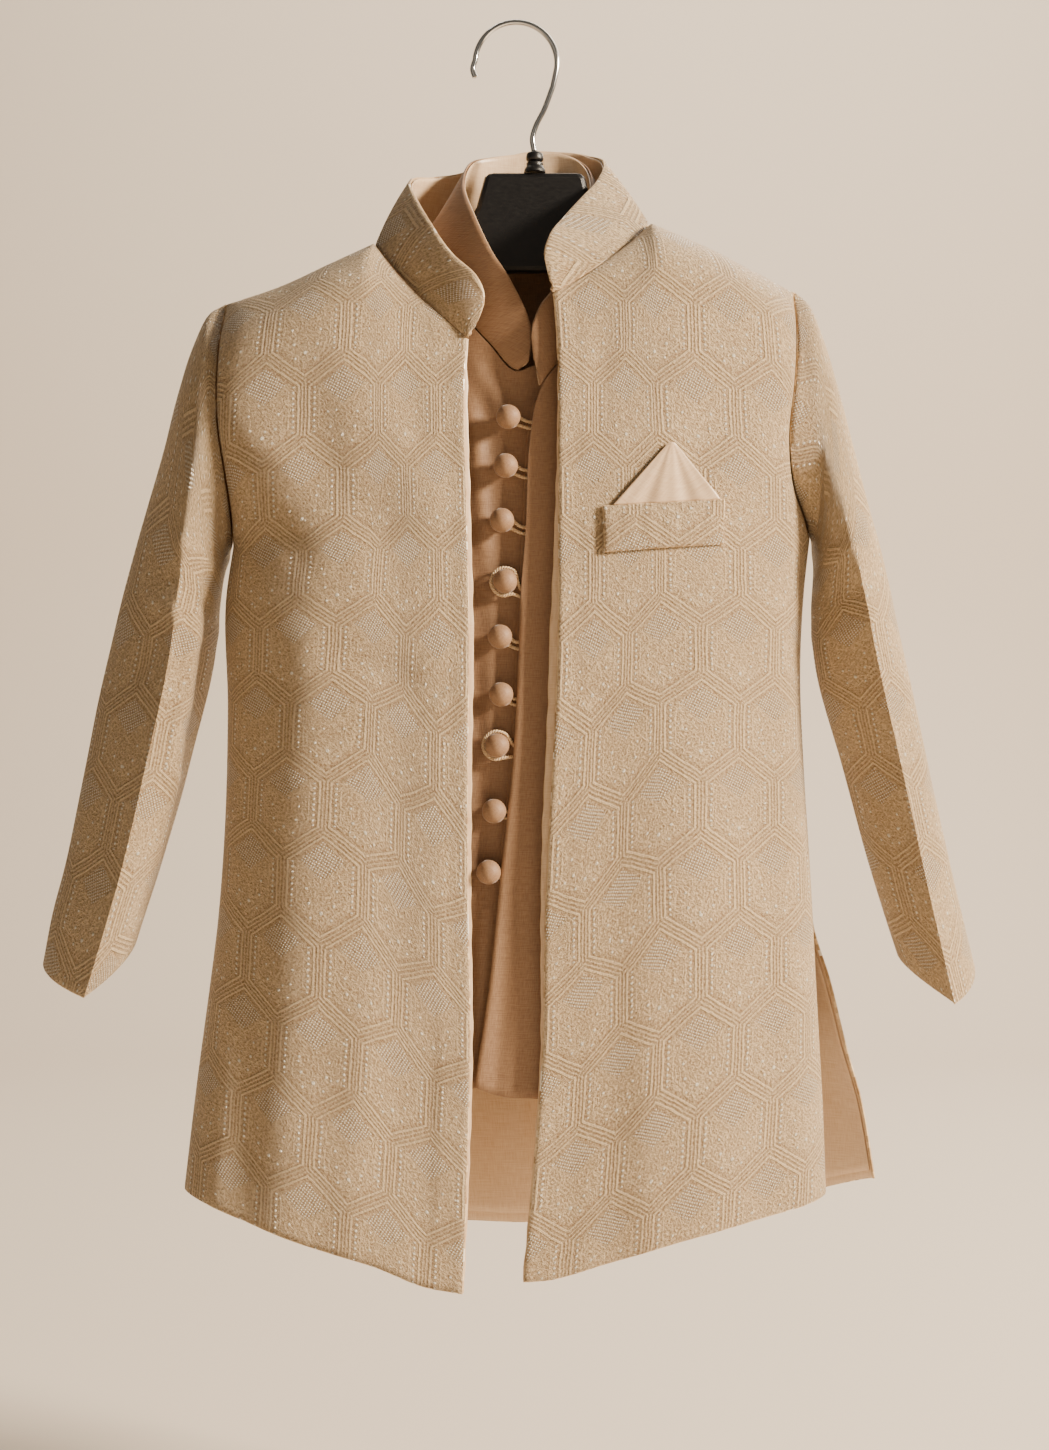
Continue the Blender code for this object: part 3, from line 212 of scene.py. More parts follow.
def raised_threads(tree, web):
    """Height of the pattern's threads from 0 to 1, and where they are metallic."""
    share = add(tree, "ShaderNodeMath", (web["near"], REACH), operation="DIVIDE")
    lines = add(tree, "ShaderNodeValToRGB", (share,))
    ramp = lines.color_ramp
    while len(ramp.elements) < len(OUTLINE):
        ramp.elements.new(0.5)
    for stop, (away, tall) in zip(ramp.elements, OUTLINE):
        stop.position = away / REACH
        stop.color = (tall, tall, tall, 1)

    low = add(tree, "ShaderNodeMath", (web["height"], -DIAMOND[2]), operation="ADD")
    low = add(tree, "ShaderNodeMath", (low,), operation="ABSOLUTE")
    across = add(tree, "ShaderNodeMath", (web["upright"], -1 / DIAMOND[0], CELL_WIDTH / 2 / DIAMOND[0]),
                 operation="MULTIPLY_ADD")
    outside = add(tree, "ShaderNodeMath", (low, 1 / DIAMOND[1], across), operation="MULTIPLY_ADD")
    diamond = add(tree, "ShaderNodeMapRange", (outside, 0.96, 1.04, 1.0, 0.0))

    turn = 2 * math.pi / DOT_PITCH
    waves = []
    for tilt_x, tilt_z in ((turn, 0.35 * turn), (-0.35 * turn, turn)):
        part = add(tree, "ShaderNodeMath", (web["x"], tilt_x), operation="MULTIPLY")
        part = add(tree, "ShaderNodeMath", (web["z"], tilt_z, part), operation="MULTIPLY_ADD")
        waves.append(add(tree, "ShaderNodeMath", (part,), operation="SINE"))
    dots = add(tree, "ShaderNodeMath", waves, operation="MULTIPLY")
    dots = add(tree, "ShaderNodeMapRange", (dots, 0.15, 0.6, 0.0, 1.0))
    dots = add(tree, "ShaderNodeMath", (dots, diamond), operation="MULTIPLY")

    bead_z = add(tree, "ShaderNodeMath", (web["height"], BEAD_PITCH / 2), operation="PINGPONG")
    round_bead = spot(tree, web["upright"], bead_z, BEAD_IN, 0.0, BEAD)
    level = add(tree, "ShaderNodeMath", (web["height"],), operation="ABSOLUTE")
    beside = add(tree, "ShaderNodeMapRange", (level, UPRIGHT / 2 - 1.5, UPRIGHT / 2 - 2.0, 0.0, 1.0))
    beads = add(tree, "ShaderNodeMath", (round_bead, beside), operation="MULTIPLY")

    metal = add(tree, "ShaderNodeMath", (dots, beads), operation="MAXIMUM")
    axis = add(tree, "ShaderNodeMath", (CELL_WIDTH / 2, web["upright"]), operation="SUBTRACT")
    for x, z, radius in SPOTS:
        metal = add(tree, "ShaderNodeMath", (metal, spot(tree, axis, web["height"], x, z, radius)),
                    operation="MAXIMUM")
    bare = add(tree, "ShaderNodeMath", (diamond, -0.5, 1.0), operation="MULTIPLY_ADD")
    lines = add(tree, "ShaderNodeMath", (lines, bare), operation="MULTIPLY")
    tall = add(tree, "ShaderNodeMath", (lines, metal), operation="MAXIMUM")

    chevron = add(tree, "ShaderNodeMath", (outside, 1.16), operation="SUBTRACT")
    chevron = add(tree, "ShaderNodeMath", (chevron,), operation="ABSOLUTE")
    chevron = add(tree, "ShaderNodeMapRange", (chevron, 0.05, 0.02, 0.0, 0.7))
    inside = add(tree, "ShaderNodeMapRange", (web["near"], 4.6, 5.0, 0.0, 1.0))
    chevron = add(tree, "ShaderNodeMath", (chevron, inside), operation="MULTIPLY")
    tall = add(tree, "ShaderNodeMath", (tall, chevron), operation="MAXIMUM")

    middle, reach, petals = FLOWER
    above = add(tree, "ShaderNodeMath", (web["height"], middle), operation="SUBTRACT")
    turn = add(tree, "ShaderNodeMath", (above, axis), operation="ARCTAN2")
    petal = add(tree, "ShaderNodeMath", (turn, petals), operation="MULTIPLY")
    petal = add(tree, "ShaderNodeMath", (petal,), operation="SINE")
    petal = add(tree, "ShaderNodeMapRange", (petal, 0.1, 0.7, 0.0, 0.8))
    disc = add(tree, "ShaderNodeMath", (spot(tree, axis, web["height"], 0.0, middle, reach), petal),
               operation="MULTIPLY")
    tall = add(tree, "ShaderNodeMath", (tall, disc), operation="MAXIMUM")
    field = add(tree, "ShaderNodeMapRange", (web["near"], 4.8, 5.6, 0.0, 1.0))
    bare = add(tree, "ShaderNodeMath", (1.0, diamond), operation="SUBTRACT")
    field = add(tree, "ShaderNodeMath", (field, bare), operation="MULTIPLY")
    return tall, metal, field


print("stops of the outline:", len(OUTLINE))

# %% [markdown]
# The scrolls and leaves in the lower field are too small to follow one by one. Contour lines of a
# soft noise curl like woven scrolls, which is why the sine of a noise is used here. The ground's
# own threads are 0.3 mm apart in the cloth. That is finer than a pixel, so they are drawn 1.1 mm
# apart, which keeps the grain that the eye sees.

# %% Brocade
SCROLL = 0.2
SCROLL_TURNS = 30.0
THREAD = 1.1
GLINT_SPECK_SCALE = 0.19
RELIEF = 0.0012


def brocade(name, ground, thread, lamella_and_glint):
    material, tree, shader = finish(name)
    true_place, place = flat_place(tree, 1.0)
    web = honeycomb(tree, place)
    tall, metal, field = raised_threads(tree, web)

    curl = add(tree, "ShaderNodeTexNoise", {"Vector": place, "Scale": SCROLL, "Detail": 1.0})
    curl = add(tree, "ShaderNodeMath", (curl, SCROLL_TURNS), operation="MULTIPLY")
    curl = add(tree, "ShaderNodeMath", (curl,), operation="SINE")
    curl = add(tree, "ShaderNodeMapRange", (curl, -0.2, 0.9, 0.0, 0.75))
    curl = add(tree, "ShaderNodeMath", (curl, field), operation="MULTIPLY")
    # Scattered specks in the field are raised a little and take the near-white metal colour: painted glints.
    scatter = add(tree, "ShaderNodeTexVoronoi", {"Vector": place, "Scale": GLINT_SPECK_SCALE})
    spark = add(tree, "ShaderNodeMapRange", (scatter, 0.15, 0.06, 0.0, 1.0))
    chosen = add(tree, "ShaderNodeSeparateColor", (scatter.outputs["Color"],))
    chosen = add(tree, "ShaderNodeMath", (chosen, 0.55), operation="GREATER_THAN")
    spark = add(tree, "ShaderNodeMath", (spark, chosen), operation="MULTIPLY")
    spark = add(tree, "ShaderNodeMath", (spark, field), operation="MULTIPLY")
    metal = add(tree, "ShaderNodeMath", (metal, spark), operation="MAXIMUM")
    tall = add(tree, "ShaderNodeMath", (tall, curl), operation="MAXIMUM")
    tall = add(tree, "ShaderNodeMath", (tall, spark), operation="MAXIMUM")

    weft = add(tree, "ShaderNodeTexWave", {"Vector": true_place, "Scale": 2 * math.pi / 20 / THREAD,
               "Distortion": 3.0, "Detail": 1.0, "Detail Scale": 2.0}, bands_direction="DIAGONAL")
    grain = add(tree, "ShaderNodeTexNoise", {"Vector": true_place, "Scale": 0.75, "Detail": 4.0,
                                             "Roughness": 0.7})
    grain = add(tree, "ShaderNodeMapRange", (grain, 0.34, 0.66, 0.0, 1.0))
    grain = add(tree, "ShaderNodeMath", (weft, 0.15, grain), operation="MULTIPLY_ADD")
    height = add(tree, "ShaderNodeMath", (grain, 0.7, tall), operation="MULTIPLY_ADD")
    height = add(tree, "ShaderNodeMath", (metal, 0.5, height), operation="MULTIPLY_ADD")
    bump = add(tree, "ShaderNodeBump", {"Strength": 1.0, "Distance": RELIEF, "Height": height})

    shade = add(tree, "ShaderNodeMath", (grain, 0.85, -0.33), operation="MULTIPLY_ADD")
    share = add(tree, "ShaderNodeMath", (tall, 0.8, shade), operation="MULTIPLY_ADD", use_clamp=True)
    tint = add(tree, "ShaderNodeMix", {0: share, 6: colour(ground), 7: colour(thread)}, data_type="RGBA")
    patch = add(tree, "ShaderNodeTexNoise", {"Vector": true_place, "Scale": 0.012, "Detail": 2.0})
    patch = add(tree, "ShaderNodeMapRange", (patch, 0.3, 0.7, 0.93, 1.05))
    tint = add(tree, "ShaderNodeVectorMath", {0: tint.outputs[2], "Scale": patch.outputs[0]},
               operation="SCALE")
    # Where the metal threads lie, the colour turns near-white: their own pale tone plus a painted glint,
    # since the shader makes them only a little metallic.
    tint = add(tree, "ShaderNodeMix", {0: metal, 6: tint, 7: colour(lamella_and_glint)}, data_type="RGBA")
    gloss = add(tree, "ShaderNodeMapRange", (metal, 0.0, 1.0, 0.50, 0.28))
    tree.links.new(tint.outputs[2], shader.inputs["Base Color"])
    tree.links.new(gloss.outputs[0], shader.inputs["Roughness"])
    shine = add(tree, "ShaderNodeMath", (metal, 0.15), operation="MULTIPLY")
    tree.links.new(shine.outputs[0], shader.inputs["Metallic"])
    tree.links.new(bump.outputs[0], shader.inputs["Normal"])
    shader.inputs["Sheen Weight"].default_value = 0.25
    shader.inputs["Sheen Roughness"].default_value = 0.4
    shader.inputs["Sheen Tint"].default_value = colour("#F5E8D2")
    return material


# The last colour is the metal threads' pale tone with a painted glint in it.
brocade_cloth = brocade("jacquard brocade, champagne", "#9F7B53", "#F0D4AA", "#FFF6E4")
print("made:", brocade_cloth.name)

# %% [markdown]
# ## Satin, plain cloth and cord
# Satin is woven so that long threads lie side by side on the face. It reflects along them, which
# the eye reads as a soft, wide gleam with fine streaks. The plain layer is a matt slub cloth: its
# threads are uneven in thickness, so short dark and light dashes run across it. Both need only a
# stretched noise and a low bump.

# %% Satin, slub cloth and cord
def woven(name, dark, light, fine, stretch, rough, deep, sheen):
    """Cloth whose threads run along its length: a fine noise stretched that many times."""
    material, tree, shader = finish(name)
    cut = add(tree, "ShaderNodeUVMap", uv_map="cut")
    warp = add(tree, "ShaderNodeMapping", {0: cut, 3: (fine, fine / stretch, 1.0)})
    weft = add(tree, "ShaderNodeMapping", {0: cut, 3: (0.6 * fine / stretch, fine, 1.0)})
    up = add(tree, "ShaderNodeTexNoise", {"Vector": warp, "Scale": 0.5, "Detail": 2.0})
    across = add(tree, "ShaderNodeTexNoise", {"Vector": weft, "Scale": 0.5, "Detail": 2.0})
    both = add(tree, "ShaderNodeMath", (up, across), operation="ADD")
    share = add(tree, "ShaderNodeMapRange", (both, 0.7, 1.3, 0.0, 1.0))
    tint = add(tree, "ShaderNodeMix", {0: share.outputs[0], 6: colour(dark), 7: colour(light)},
               data_type="RGBA")
    bump = add(tree, "ShaderNodeBump", {"Strength": deep, "Distance": 0.0003, "Height": both})
    tree.links.new(tint.outputs[2], shader.inputs["Base Color"])
    tree.links.new(bump.outputs[0], shader.inputs["Normal"])
    shader.inputs["Roughness"].default_value = rough
    shader.inputs["Sheen Weight"].default_value = sheen
    shader.inputs["Sheen Roughness"].default_value = 0.35
    return material


satin_cloth = woven("satin lining, peach", "#D2AF8A", "#E6CBAA", 3600.0, 12.0, 0.34, 0.08, 0.2)
slub_cloth = woven("plain slub cloth, tan", "#86644A", "#A07E5E", 3800.0, 8.0, 0.6, 0.4, 0.3)
cord_yarn = woven("twisted cotton cord, tan", "#C9A880", "#EBD3AE", 3000.0, 3.0, 0.7, 0.5, 0.3)
print("made:", satin_cloth.name, "/", slub_cloth.name, "/", cord_yarn.name)

# %% [markdown]
# ## Plastic and steel
# The hanger is injection-moulded polystyrene, dyed black. Its mould was spark-eroded, so the
# surface has a fine, dull grain with a wide highlight. The hook is drawn steel wire with a chrome
# plating: a metal with almost no colour of its own and long thin reflections.

# %% Plastic and steel
moulded, tree, shader = finish("injection-moulded polystyrene, black")
grain = add(tree, "ShaderNodeTexNoise", {"Scale": 900.0, "Detail": 2.0})
scuff = add(tree, "ShaderNodeTexNoise", {"Scale": 60.0, "Detail": 4.0})
rough = add(tree, "ShaderNodeMapRange", (scuff, 0.3, 0.7, 0.34, 0.46))
bump = add(tree, "ShaderNodeBump", {"Strength": 0.2, "Distance": 0.0002, "Height": grain})
shader.inputs["Base Color"].default_value = colour("#0C0B0D")
shader.inputs["IOR"].default_value = 1.58
tree.links.new(rough.outputs[0], shader.inputs["Roughness"])
tree.links.new(bump.outputs[0], shader.inputs["Normal"])

plated, tree, shader = finish("drawn steel wire, chrome plated")
streak = add(tree, "ShaderNodeTexNoise", {"Scale": 350.0, "Detail": 3.0})
rough = add(tree, "ShaderNodeMapRange", (streak, 0.3, 0.7, 0.10, 0.20))
shader.inputs["Base Color"].default_value = colour("#D6D5D4")
shader.inputs["Metallic"].default_value = 1.0
tree.links.new(rough.outputs[0], shader.inputs["Roughness"])
print("made:", moulded.name, "/", plated.name)

# %% [markdown]
# ## Curves and panels
# A pattern cutter draws a panel by its outline: front edge, neck, shoulder, armhole, side and hem.
# The same is done here. Each outline is a short table in millimetres, with the origin at the inside
# of the hook's top, and a smooth curve runs through its rows. Four curves that meet at their
# corners can be filled with a patch, which gives every point of the panel. Working in numbers
# rather than with a modifier means that one panel can carry the next one exactly.

# %% Curves through tables
MM = 0.001
FORWARD = np.array((0.0, -1.0, 0.0))
STEPS = {"jacket": (30, 24, 44, 104), "inner": (30, 20, 30, 64)}
ROW_EASE = {"jacket": 1.3, "inner": 2.0}
NECK_SHARE = 0.42
COLUMN_EASE = 1.4


def run_along(points):
    """Length along a line, from 0 at its first point."""
    step = np.linalg.norm(np.diff(points, axis=0), axis=1)
    return np.concatenate(([0.0], np.cumsum(step)))


def through(rows, where, knots=None):
    """A smooth curve through the rows, read at shares of its length or at given knots."""
    points = np.array(rows, float)
    if knots is None:
        knots = run_along(points) / run_along(points)[-1]
    slope = np.gradient(points, knots, axis=0)
    curve = []
    for t in where:
        i = max(0, min(int(np.searchsorted(knots, t, side="right")) - 1, len(knots) - 2))
        span = knots[i + 1] - knots[i]
        s = (t - knots[i]) / span
        curve.append(points[i] * (1 + 2 * s) * (1 - s) ** 2 + points[i + 1] * s * s * (3 - 2 * s)
                     + slope[i] * span * s * (1 - s) ** 2 - slope[i + 1] * span * s * s * (1 - s))
    return np.array(curve)


def evenly(steps):
    """Shares from 0 to 1 at even steps."""
    return np.linspace(0, 1, steps + 1)


def closing(steps):
    """Shares that lie closer towards the end."""
    return 1 - (1 - evenly(steps)) ** COLUMN_EASE


print("shares of a shoulder in four steps:", closing(4).round(2))

# %% Patches between curves
def columns(neck_steps, shoulder_steps):
    """Shares across a panel, from its front edge past the neck to the shoulder's end."""
    rest = NECK_SHARE + (1 - NECK_SHARE) * closing(shoulder_steps)
    return np.concatenate((NECK_SHARE * evenly(neck_steps), rest[1:]))


def rows_down(kind, side_curve):
    """Shares down a panel, closer together at the shoulder."""
    _, _, armhole_steps, side_steps = STEPS[kind]
    run = run_along(side_curve)
    share = run[armhole_steps] / run[-1]
    low = share + (1 - share) * evenly(side_steps)
    return np.concatenate((share * evenly(armhole_steps) ** ROW_EASE[kind], low[1:]))


def fill(edge, top, side, hem, us, vs):
    """The patch between four curves that meet at its corners."""
    u = us[None, :, None]
    v = vs[:, None, None]
    across = (1 - u) * edge[:, None, :] + u * side[:, None, :]
    down = (1 - v) * top[None, :, :] + v * hem[None, :, :]
    corners = ((1 - u) * (1 - v) * top[0] + u * (1 - v) * top[-1]
               + (1 - u) * v * hem[0] + u * v * hem[-1])
    return across + down - corners


def resample(grid, rows_at, cols_at):
    """The same face read at other rows and columns, which may be fractions."""
    rows = np.arange(grid.shape[0])
    cols = np.arange(grid.shape[1])
    down = np.stack([[np.interp(rows_at, rows, grid[:, c, k]) for c in cols] for k in range(3)], axis=2)
    return np.stack([[np.interp(cols_at, cols, down[:, r, k]) for r in range(len(rows_at))]
                     for k in range(3)], axis=2)


print("grid of a front:", sum(STEPS["jacket"][:2]) + 1, "by", sum(STEPS["jacket"][2:]) + 1, "points")

# %% [markdown]
# ## Folds
# Stiff brocade hangs in long, shallow troughs, and gives short, crisp creases only where the arm
# would bend. Every fold here is a line with a width and a height, high in the middle and fading at
# both ends, so its place can be read off a picture and typed in. A slow ripple on top keeps the
# space between the folds from looking ironed by a machine.

# %% Folds
FOLD_REACH = 1.25
FOLD_RISE = 0.3


def fold_depth(x, z, folds):
    """Height of all folds: each is x and z of its top, x and z of its foot, half width, height."""
    height = np.zeros_like(x)
    for x0, z0, x1, z1, half, rise in folds:
        run = math.hypot(x1 - x0, z1 - z0)
        ax = (x1 - x0) / run
        az = (z1 - z0) / run
        along = ((x - x0) * ax + (z - z0) * az) / run
        aside = (x - x0) * az - (z - z0) * ax
        ends = np.clip(np.minimum(along, FOLD_REACH - along) / FOLD_RISE, 0, 1)
        height += rise * ends * ends * (3 - 2 * ends) * np.exp(-(aside / half) ** 2)
    return height


def ripple(x, z, size):
    """A slow, uneven rise and fall of the cloth."""
    broad = np.sin(x / 19.0 + 1.3 * np.sin(z / 57.0)) * np.sin(z / 43.0 + x / 80.0)
    small = np.sin(x / 8.5 + z / 31.0 + 2.0) * np.sin(z / 14.0 - x / 37.0)
    return size * (broad + 0.45 * small)


print("a fold of height 1 at its middle:", round(float(fold_depth(np.array(0.0), np.array(-5.0),
      [(0.0, 0.0, 0.0, -10.0, 3.0, 1.0)])), 2))

# %% [markdown]
# ## A wall of cloth
# Cloth seen from close by has a thickness, and its edges are turned and therefore round. A single
# surface with a modifier would give square edges. This helper makes the outer face, the inner
# face and a round rim between them, lays the flat cut on it as a UV map in metres, and hides the
# solid that it stands for. The jacket is lined, so its inner face gets the satin.

# %% The cloth laid flat
def normals(grid, outward, closed=False, flat=()):
    """Unit normals of a grid, turned to the outward side; flat seams get none along Y."""
    if closed:
        along = np.roll(grid, -1, axis=1) - np.roll(grid, 1, axis=1)
    else:
        along = np.gradient(grid, axis=1)
    normal = np.cross(along, np.gradient(grid, axis=0))
    normal *= np.sign((normal * outward).sum())
    for place in flat:
        normal[place + (1,)] = 0.0
    return normal / np.maximum(np.linalg.norm(normal, axis=2), 1e-9)[:, :, None]


def flat_cut(grid, start, aside, middle_row, sign=1.0, closed=False):
    """The cloth laid flat, in metres: arc lengths across from a column and down from a row."""
    if closed:
        grid = np.concatenate((grid, grid[:, :1]), axis=1)
    step = np.linalg.norm(np.diff(grid, axis=1), axis=2)
    across = np.concatenate((np.zeros((len(grid), 1)), np.cumsum(step, axis=1)), axis=1)
    across = across - across[:, start:start + 1]
    step = np.linalg.norm(np.diff(grid, axis=0), axis=2)
    down = np.concatenate((np.zeros((1, grid.shape[1])), np.cumsum(step, axis=0)), axis=0)
    down = down - down[middle_row][None, :]
    height = grid[middle_row, :, 2][None, :] - down
    return np.stack((aside + sign * across, height), axis=2) * MM


def quads(index, cut, closed, turn):
    """Faces of a grid of point numbers, with the flat place of every corner."""
    right = np.roll(index, -1, axis=1) if closed else index[:, 1:]
    left = index if closed else index[:, :-1]
    faces = np.stack((left[:-1], right[:-1], right[1:], left[1:]), axis=2).reshape(-1, 4)
    flat = np.stack((cut[:-1, :-1], cut[:-1, 1:], cut[1:, 1:], cut[1:, :-1]), axis=2).reshape(-1, 4, 2)
    return (faces[:, ::-1], flat[:, ::-1]) if turn else (faces, flat)


print("the flat cut is kept in metres, so a millimetre is", MM)

# %% A mesh that dresses a solid
ROUND_ANGLE = 62


def make_mesh(name, verts, faces, flat, finishes, inner=()):
    """One object from points in millimetres, with the flat cut as its UV map."""
    mesh = bpy.data.meshes.new(name)
    mesh.from_pydata((np.asarray(verts) * MM).tolist(), [], [tuple(f) for f in faces])
    layer = mesh.uv_layers.new(name="cut")
    layer.data.foreach_set("uv", np.concatenate([np.ravel(f) for f in flat]).astype(np.float32))
    for material in finishes:
        mesh.materials.append(material)
    for k in inner:
        mesh.polygons[k].material_index = 1
    solid = bmesh.new()
    solid.from_mesh(mesh)
    bmesh.ops.recalc_face_normals(solid, faces=solid.faces)
    solid.to_mesh(mesh)
    solid.free()
    mesh.shade_smooth()
    mesh.set_sharp_from_angle(angle=math.radians(ROUND_ANGLE))
    thing = bpy.data.objects.new(name, mesh)
    bpy.context.collection.objects.link(thing)
    return thing


def place(thing, node, slot):
    """Hangs a piece on the one body, in the stead of the solid that it dresses."""
    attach(thing, "root")
    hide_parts(node)
    return thing


print("edges sharper than %d degrees stay sharp" % ROUND_ANGLE)

# %% Cloth with a rim
RIM = 0.42
CUT_SIZES = {}


def cloth_wall(name, node, slot, face, normal, thick, cut, finishes,
               closed=False, sunk=0.0, rim=RIM):
    """A closed wall of cloth with round rims; its outer face lies sunk below the given one."""
    rows, cols = face.shape[:2]
    outer = face - normal * sunk
    inner = face - normal * (sunk + thick)
    index = np.arange(rows * cols).reshape(rows, cols)
    faces, flat = quads(index, cut, closed, False)
    back, flat_back = quads(index + rows * cols, cut, closed, True)
    verts = [outer.reshape(-1, 3), inner.reshape(-1, 3)]
    all_faces = [*faces, *back]
    all_flat = [*flat, *flat_back]
    if closed:
        loops = [[(0, c) for c in range(cols)], [(rows - 1, c) for c in range(cols)]]
    else:
        loops = [[(0, c) for c in range(cols)] + [(r, cols - 1) for r in range(1, rows)]
                 + [(rows - 1, c) for c in range(cols - 2, -1, -1)]
                 + [(r, 0) for r in range(rows - 2, 0, -1)]]
    count = 2 * rows * cols
    for loop in loops:
        for k, (r, c) in enumerate(loop):
            near = (min(max(r, 1), rows - 2), c if closed else min(max(c, 1), cols - 2))
            out = face[r, c] - face[near]
            out = out / max(np.linalg.norm(out), 1e-9)
            verts.append(((outer[r, c] + inner[r, c]) / 2 + out * rim * thick)[None, :])
            n = (k + 1) % len(loop)
            a, b = index[loop[k]], index[loop[n]]
            spot = cut[r, c]
            for ring in ((a, b, count + n, count + k),
                         (count + k, count + n, b + rows * cols, a + rows * cols)):
                all_faces.append(ring)
                all_flat.append(np.array([spot] * 4))
        count += len(loop)
    inside = range(len(faces), 2 * len(faces)) if len(finishes) > 1 else ()
    thing = make_mesh(name, np.concatenate(verts), all_faces, all_flat, finishes, inside)
    place(thing, node, slot)
    declare(thing, face, closed)
    return thing


def declare(thing, face, closed=False):
    """Keeps the size of the flat cut in CUT_SIZES: its width, its length and its area."""
    ring = np.concatenate((face, face[:, :1]), axis=1) if closed else face
    wide = np.linalg.norm(np.diff(ring, axis=1), axis=2).sum(axis=1).max() * MM
    long = np.linalg.norm(np.diff(ring, axis=0), axis=2).sum(axis=0).max() * MM
    a = ring[:-1, 1:] - ring[:-1, :-1]
    b = ring[1:, :-1] - ring[:-1, :-1]
    area = np.linalg.norm(np.cross(a, b), axis=2).sum() * MM * MM
    CUT_SIZES[thing.name] = (round(float(wide) * 1000), round(float(long) * 1000), round(float(area), 4))


print("a wall's rim bulges by %.2f of its thickness" % RIM)

# %% [markdown]
# ## The two fronts and the back of the jacket
# A front is cut in one piece from shoulder to hem. Its depth is worked out across the chest: almost
# flat near the front edge and turning back quickly at the side, as stiff cloth does on a flat
# hanger. The folds are subtracted from that depth. Building all three panels from the same two
# armhole tables means that their seams meet by themselves.

# %% Panels of cloth
SEAM_GAP = 0.3
BROCADE = 1.5
SATIN = 0.8
SILK = 1.0
SHOULDER_ROUND = {"jacket": (0.075, 0.5), "inner": (0.35, 0.8)}
BACK_ROUND = {"jacket": (0.075, 0.5), "inner": (0.12, 0.6)}
BACK_SHOULDER_GAP = 0.5
CROWN = 2.6
SECTION_POWER = 3.0
EDGE_FLAT = 0.12
EDGE_ROLL = ((1.0, 2.2, 0.35), (9.0, 3.0, -0.3))


def over_shoulder(vs, rounding):
    """How far the cloth has come round the shoulder, from 0 at the seam to 1."""
    share, power = rounding
    return (1 - (1 - np.clip(vs / share, 0, 1)) ** 2)[:, None] ** power


def armhole_and_side(kind, armhole, side, layer):
    """The side edge of a front (layer 0) or a back (layer 1) as x, y, z."""
    _, _, armhole_steps, side_steps = STEPS[kind]
    arm = through([(row[0], row[2 + layer], row[1]) for row in armhole],
                  evenly(armhole_steps) ** ROW_EASE[kind])
    low = through([(row[layer], row[3 + layer], row[2]) for row in side], evenly(side_steps))
    return np.vstack((arm, low[1:]))


def front_panel(kind, edge, neck, shoulder, armhole, side, hem, folds, uneven):
    """Outer face of a front: rows run from shoulder to hem, columns from front edge to side."""
    neck_steps, shoulder_steps = STEPS[kind][:2]
    us = columns(neck_steps, shoulder_steps)
    side_curve = armhole_and_side(kind, armhole, side, 0)
    vs = rows_down(kind, side_curve)
    edge_curve = through(edge, vs)
    top_curve = np.vstack((through(neck, evenly(neck_steps)),
                           through(shoulder, closing(shoulder_steps))[1:]))
    hem_curve = through([(x, 0.0, z) for x, z in hem], us)
    grid = fill(edge_curve, top_curve, side_curve, hem_curve, us, vs)
    section = np.sqrt(np.clip(1 - us ** SECTION_POWER, 0, 1))[None, :]
    deep = side_curve[:, 1:2] + (edge_curve[:, 1:2] - side_curve[:, 1:2]) * section
    over = over_shoulder(vs, SHOULDER_ROUND[kind])
    top_y = top_curve[:, 1][None, :]
    x, z = grid[:, :, 0], grid[:, :, 2]
    height = fold_depth(x, z, folds) * np.clip(us / EDGE_FLAT, 0, 1) + ripple(x, z, uneven)
    from_edge = np.abs(x - x[:, :1])
    for middle, half, rise in EDGE_ROLL:
        height += rise * np.exp(-((from_edge - middle) / half) ** 2)
    grid[:, :, 1] = top_y + (deep - top_y) * over - height * over * section
    return grid


print("the fronts' section is a rounded box of power", SECTION_POWER)

# %% The back of a layer
def back_panel(kind, neck, shoulders, armholes, sides, hem, depth, folds, uneven):
    """Outer face of a back: columns run from the wearer's right side to the left side."""
    neck_steps, shoulder_steps = STEPS[kind][:2]
    right = armhole_and_side(kind, armholes[0], sides[0], 1)
    left = armhole_and_side(kind, armholes[1], sides[1], 1)
    behind = np.array((0.0, BACK_SHOULDER_GAP, 0.0))
    shoulder_r = through(shoulders[0], evenly(shoulder_steps)[::-1]) + behind
    shoulder_l = through(shoulders[1], evenly(shoulder_steps)) + behind
    top = np.vstack((shoulder_r, through(neck, evenly(neck_steps))[1:], shoulder_l[1:]))
    us = (1 - np.cos(math.pi * evenly(len(top) - 1))) / 2
    vs = rows_down(kind, right)
    hem_curve = through([(x, 0.0, z) for x, z in hem], us)
    grid = fill(right, top, left, hem_curve, us, vs)
    section = np.sqrt(np.clip(1 - np.abs(2 * us - 1) ** SECTION_POWER, 0, 1))[None, :]
    side_y = (1 - us)[None, :] * right[:, 1:2] + us[None, :] * left[:, 1:2]
    full = np.interp(vs, [row[1] for row in depth], [row[0] for row in depth])[:, None]
    deep = side_y + (full - side_y) * section
    over = over_shoulder(vs, BACK_ROUND[kind])
    top_y = top[:, 1][None, :]
    x, z = grid[:, :, 0], grid[:, :, 2]
    height = fold_depth(x, z, folds) + ripple(x, z, uneven)
    grid[:, :, 1] = top_y + (deep - top_y) * over + height * over * section
    bump = np.clip(vs / BACK_ROUND[kind][0], 0, 1)[:, None]
    grid[:, :, 2] += CROWN * 4 * bump * (1 - bump) * np.clip((2.0 - top_y) / 6.0, 0, 1) * section
    return grid


def front_seams(kind):
    """Where a front meets the back: its shoulder and its side."""
    neck_steps, _, armhole_steps, _ = STEPS[kind]
    return [(0, slice(neck_steps, None)), (slice(armhole_steps, None), -1)]


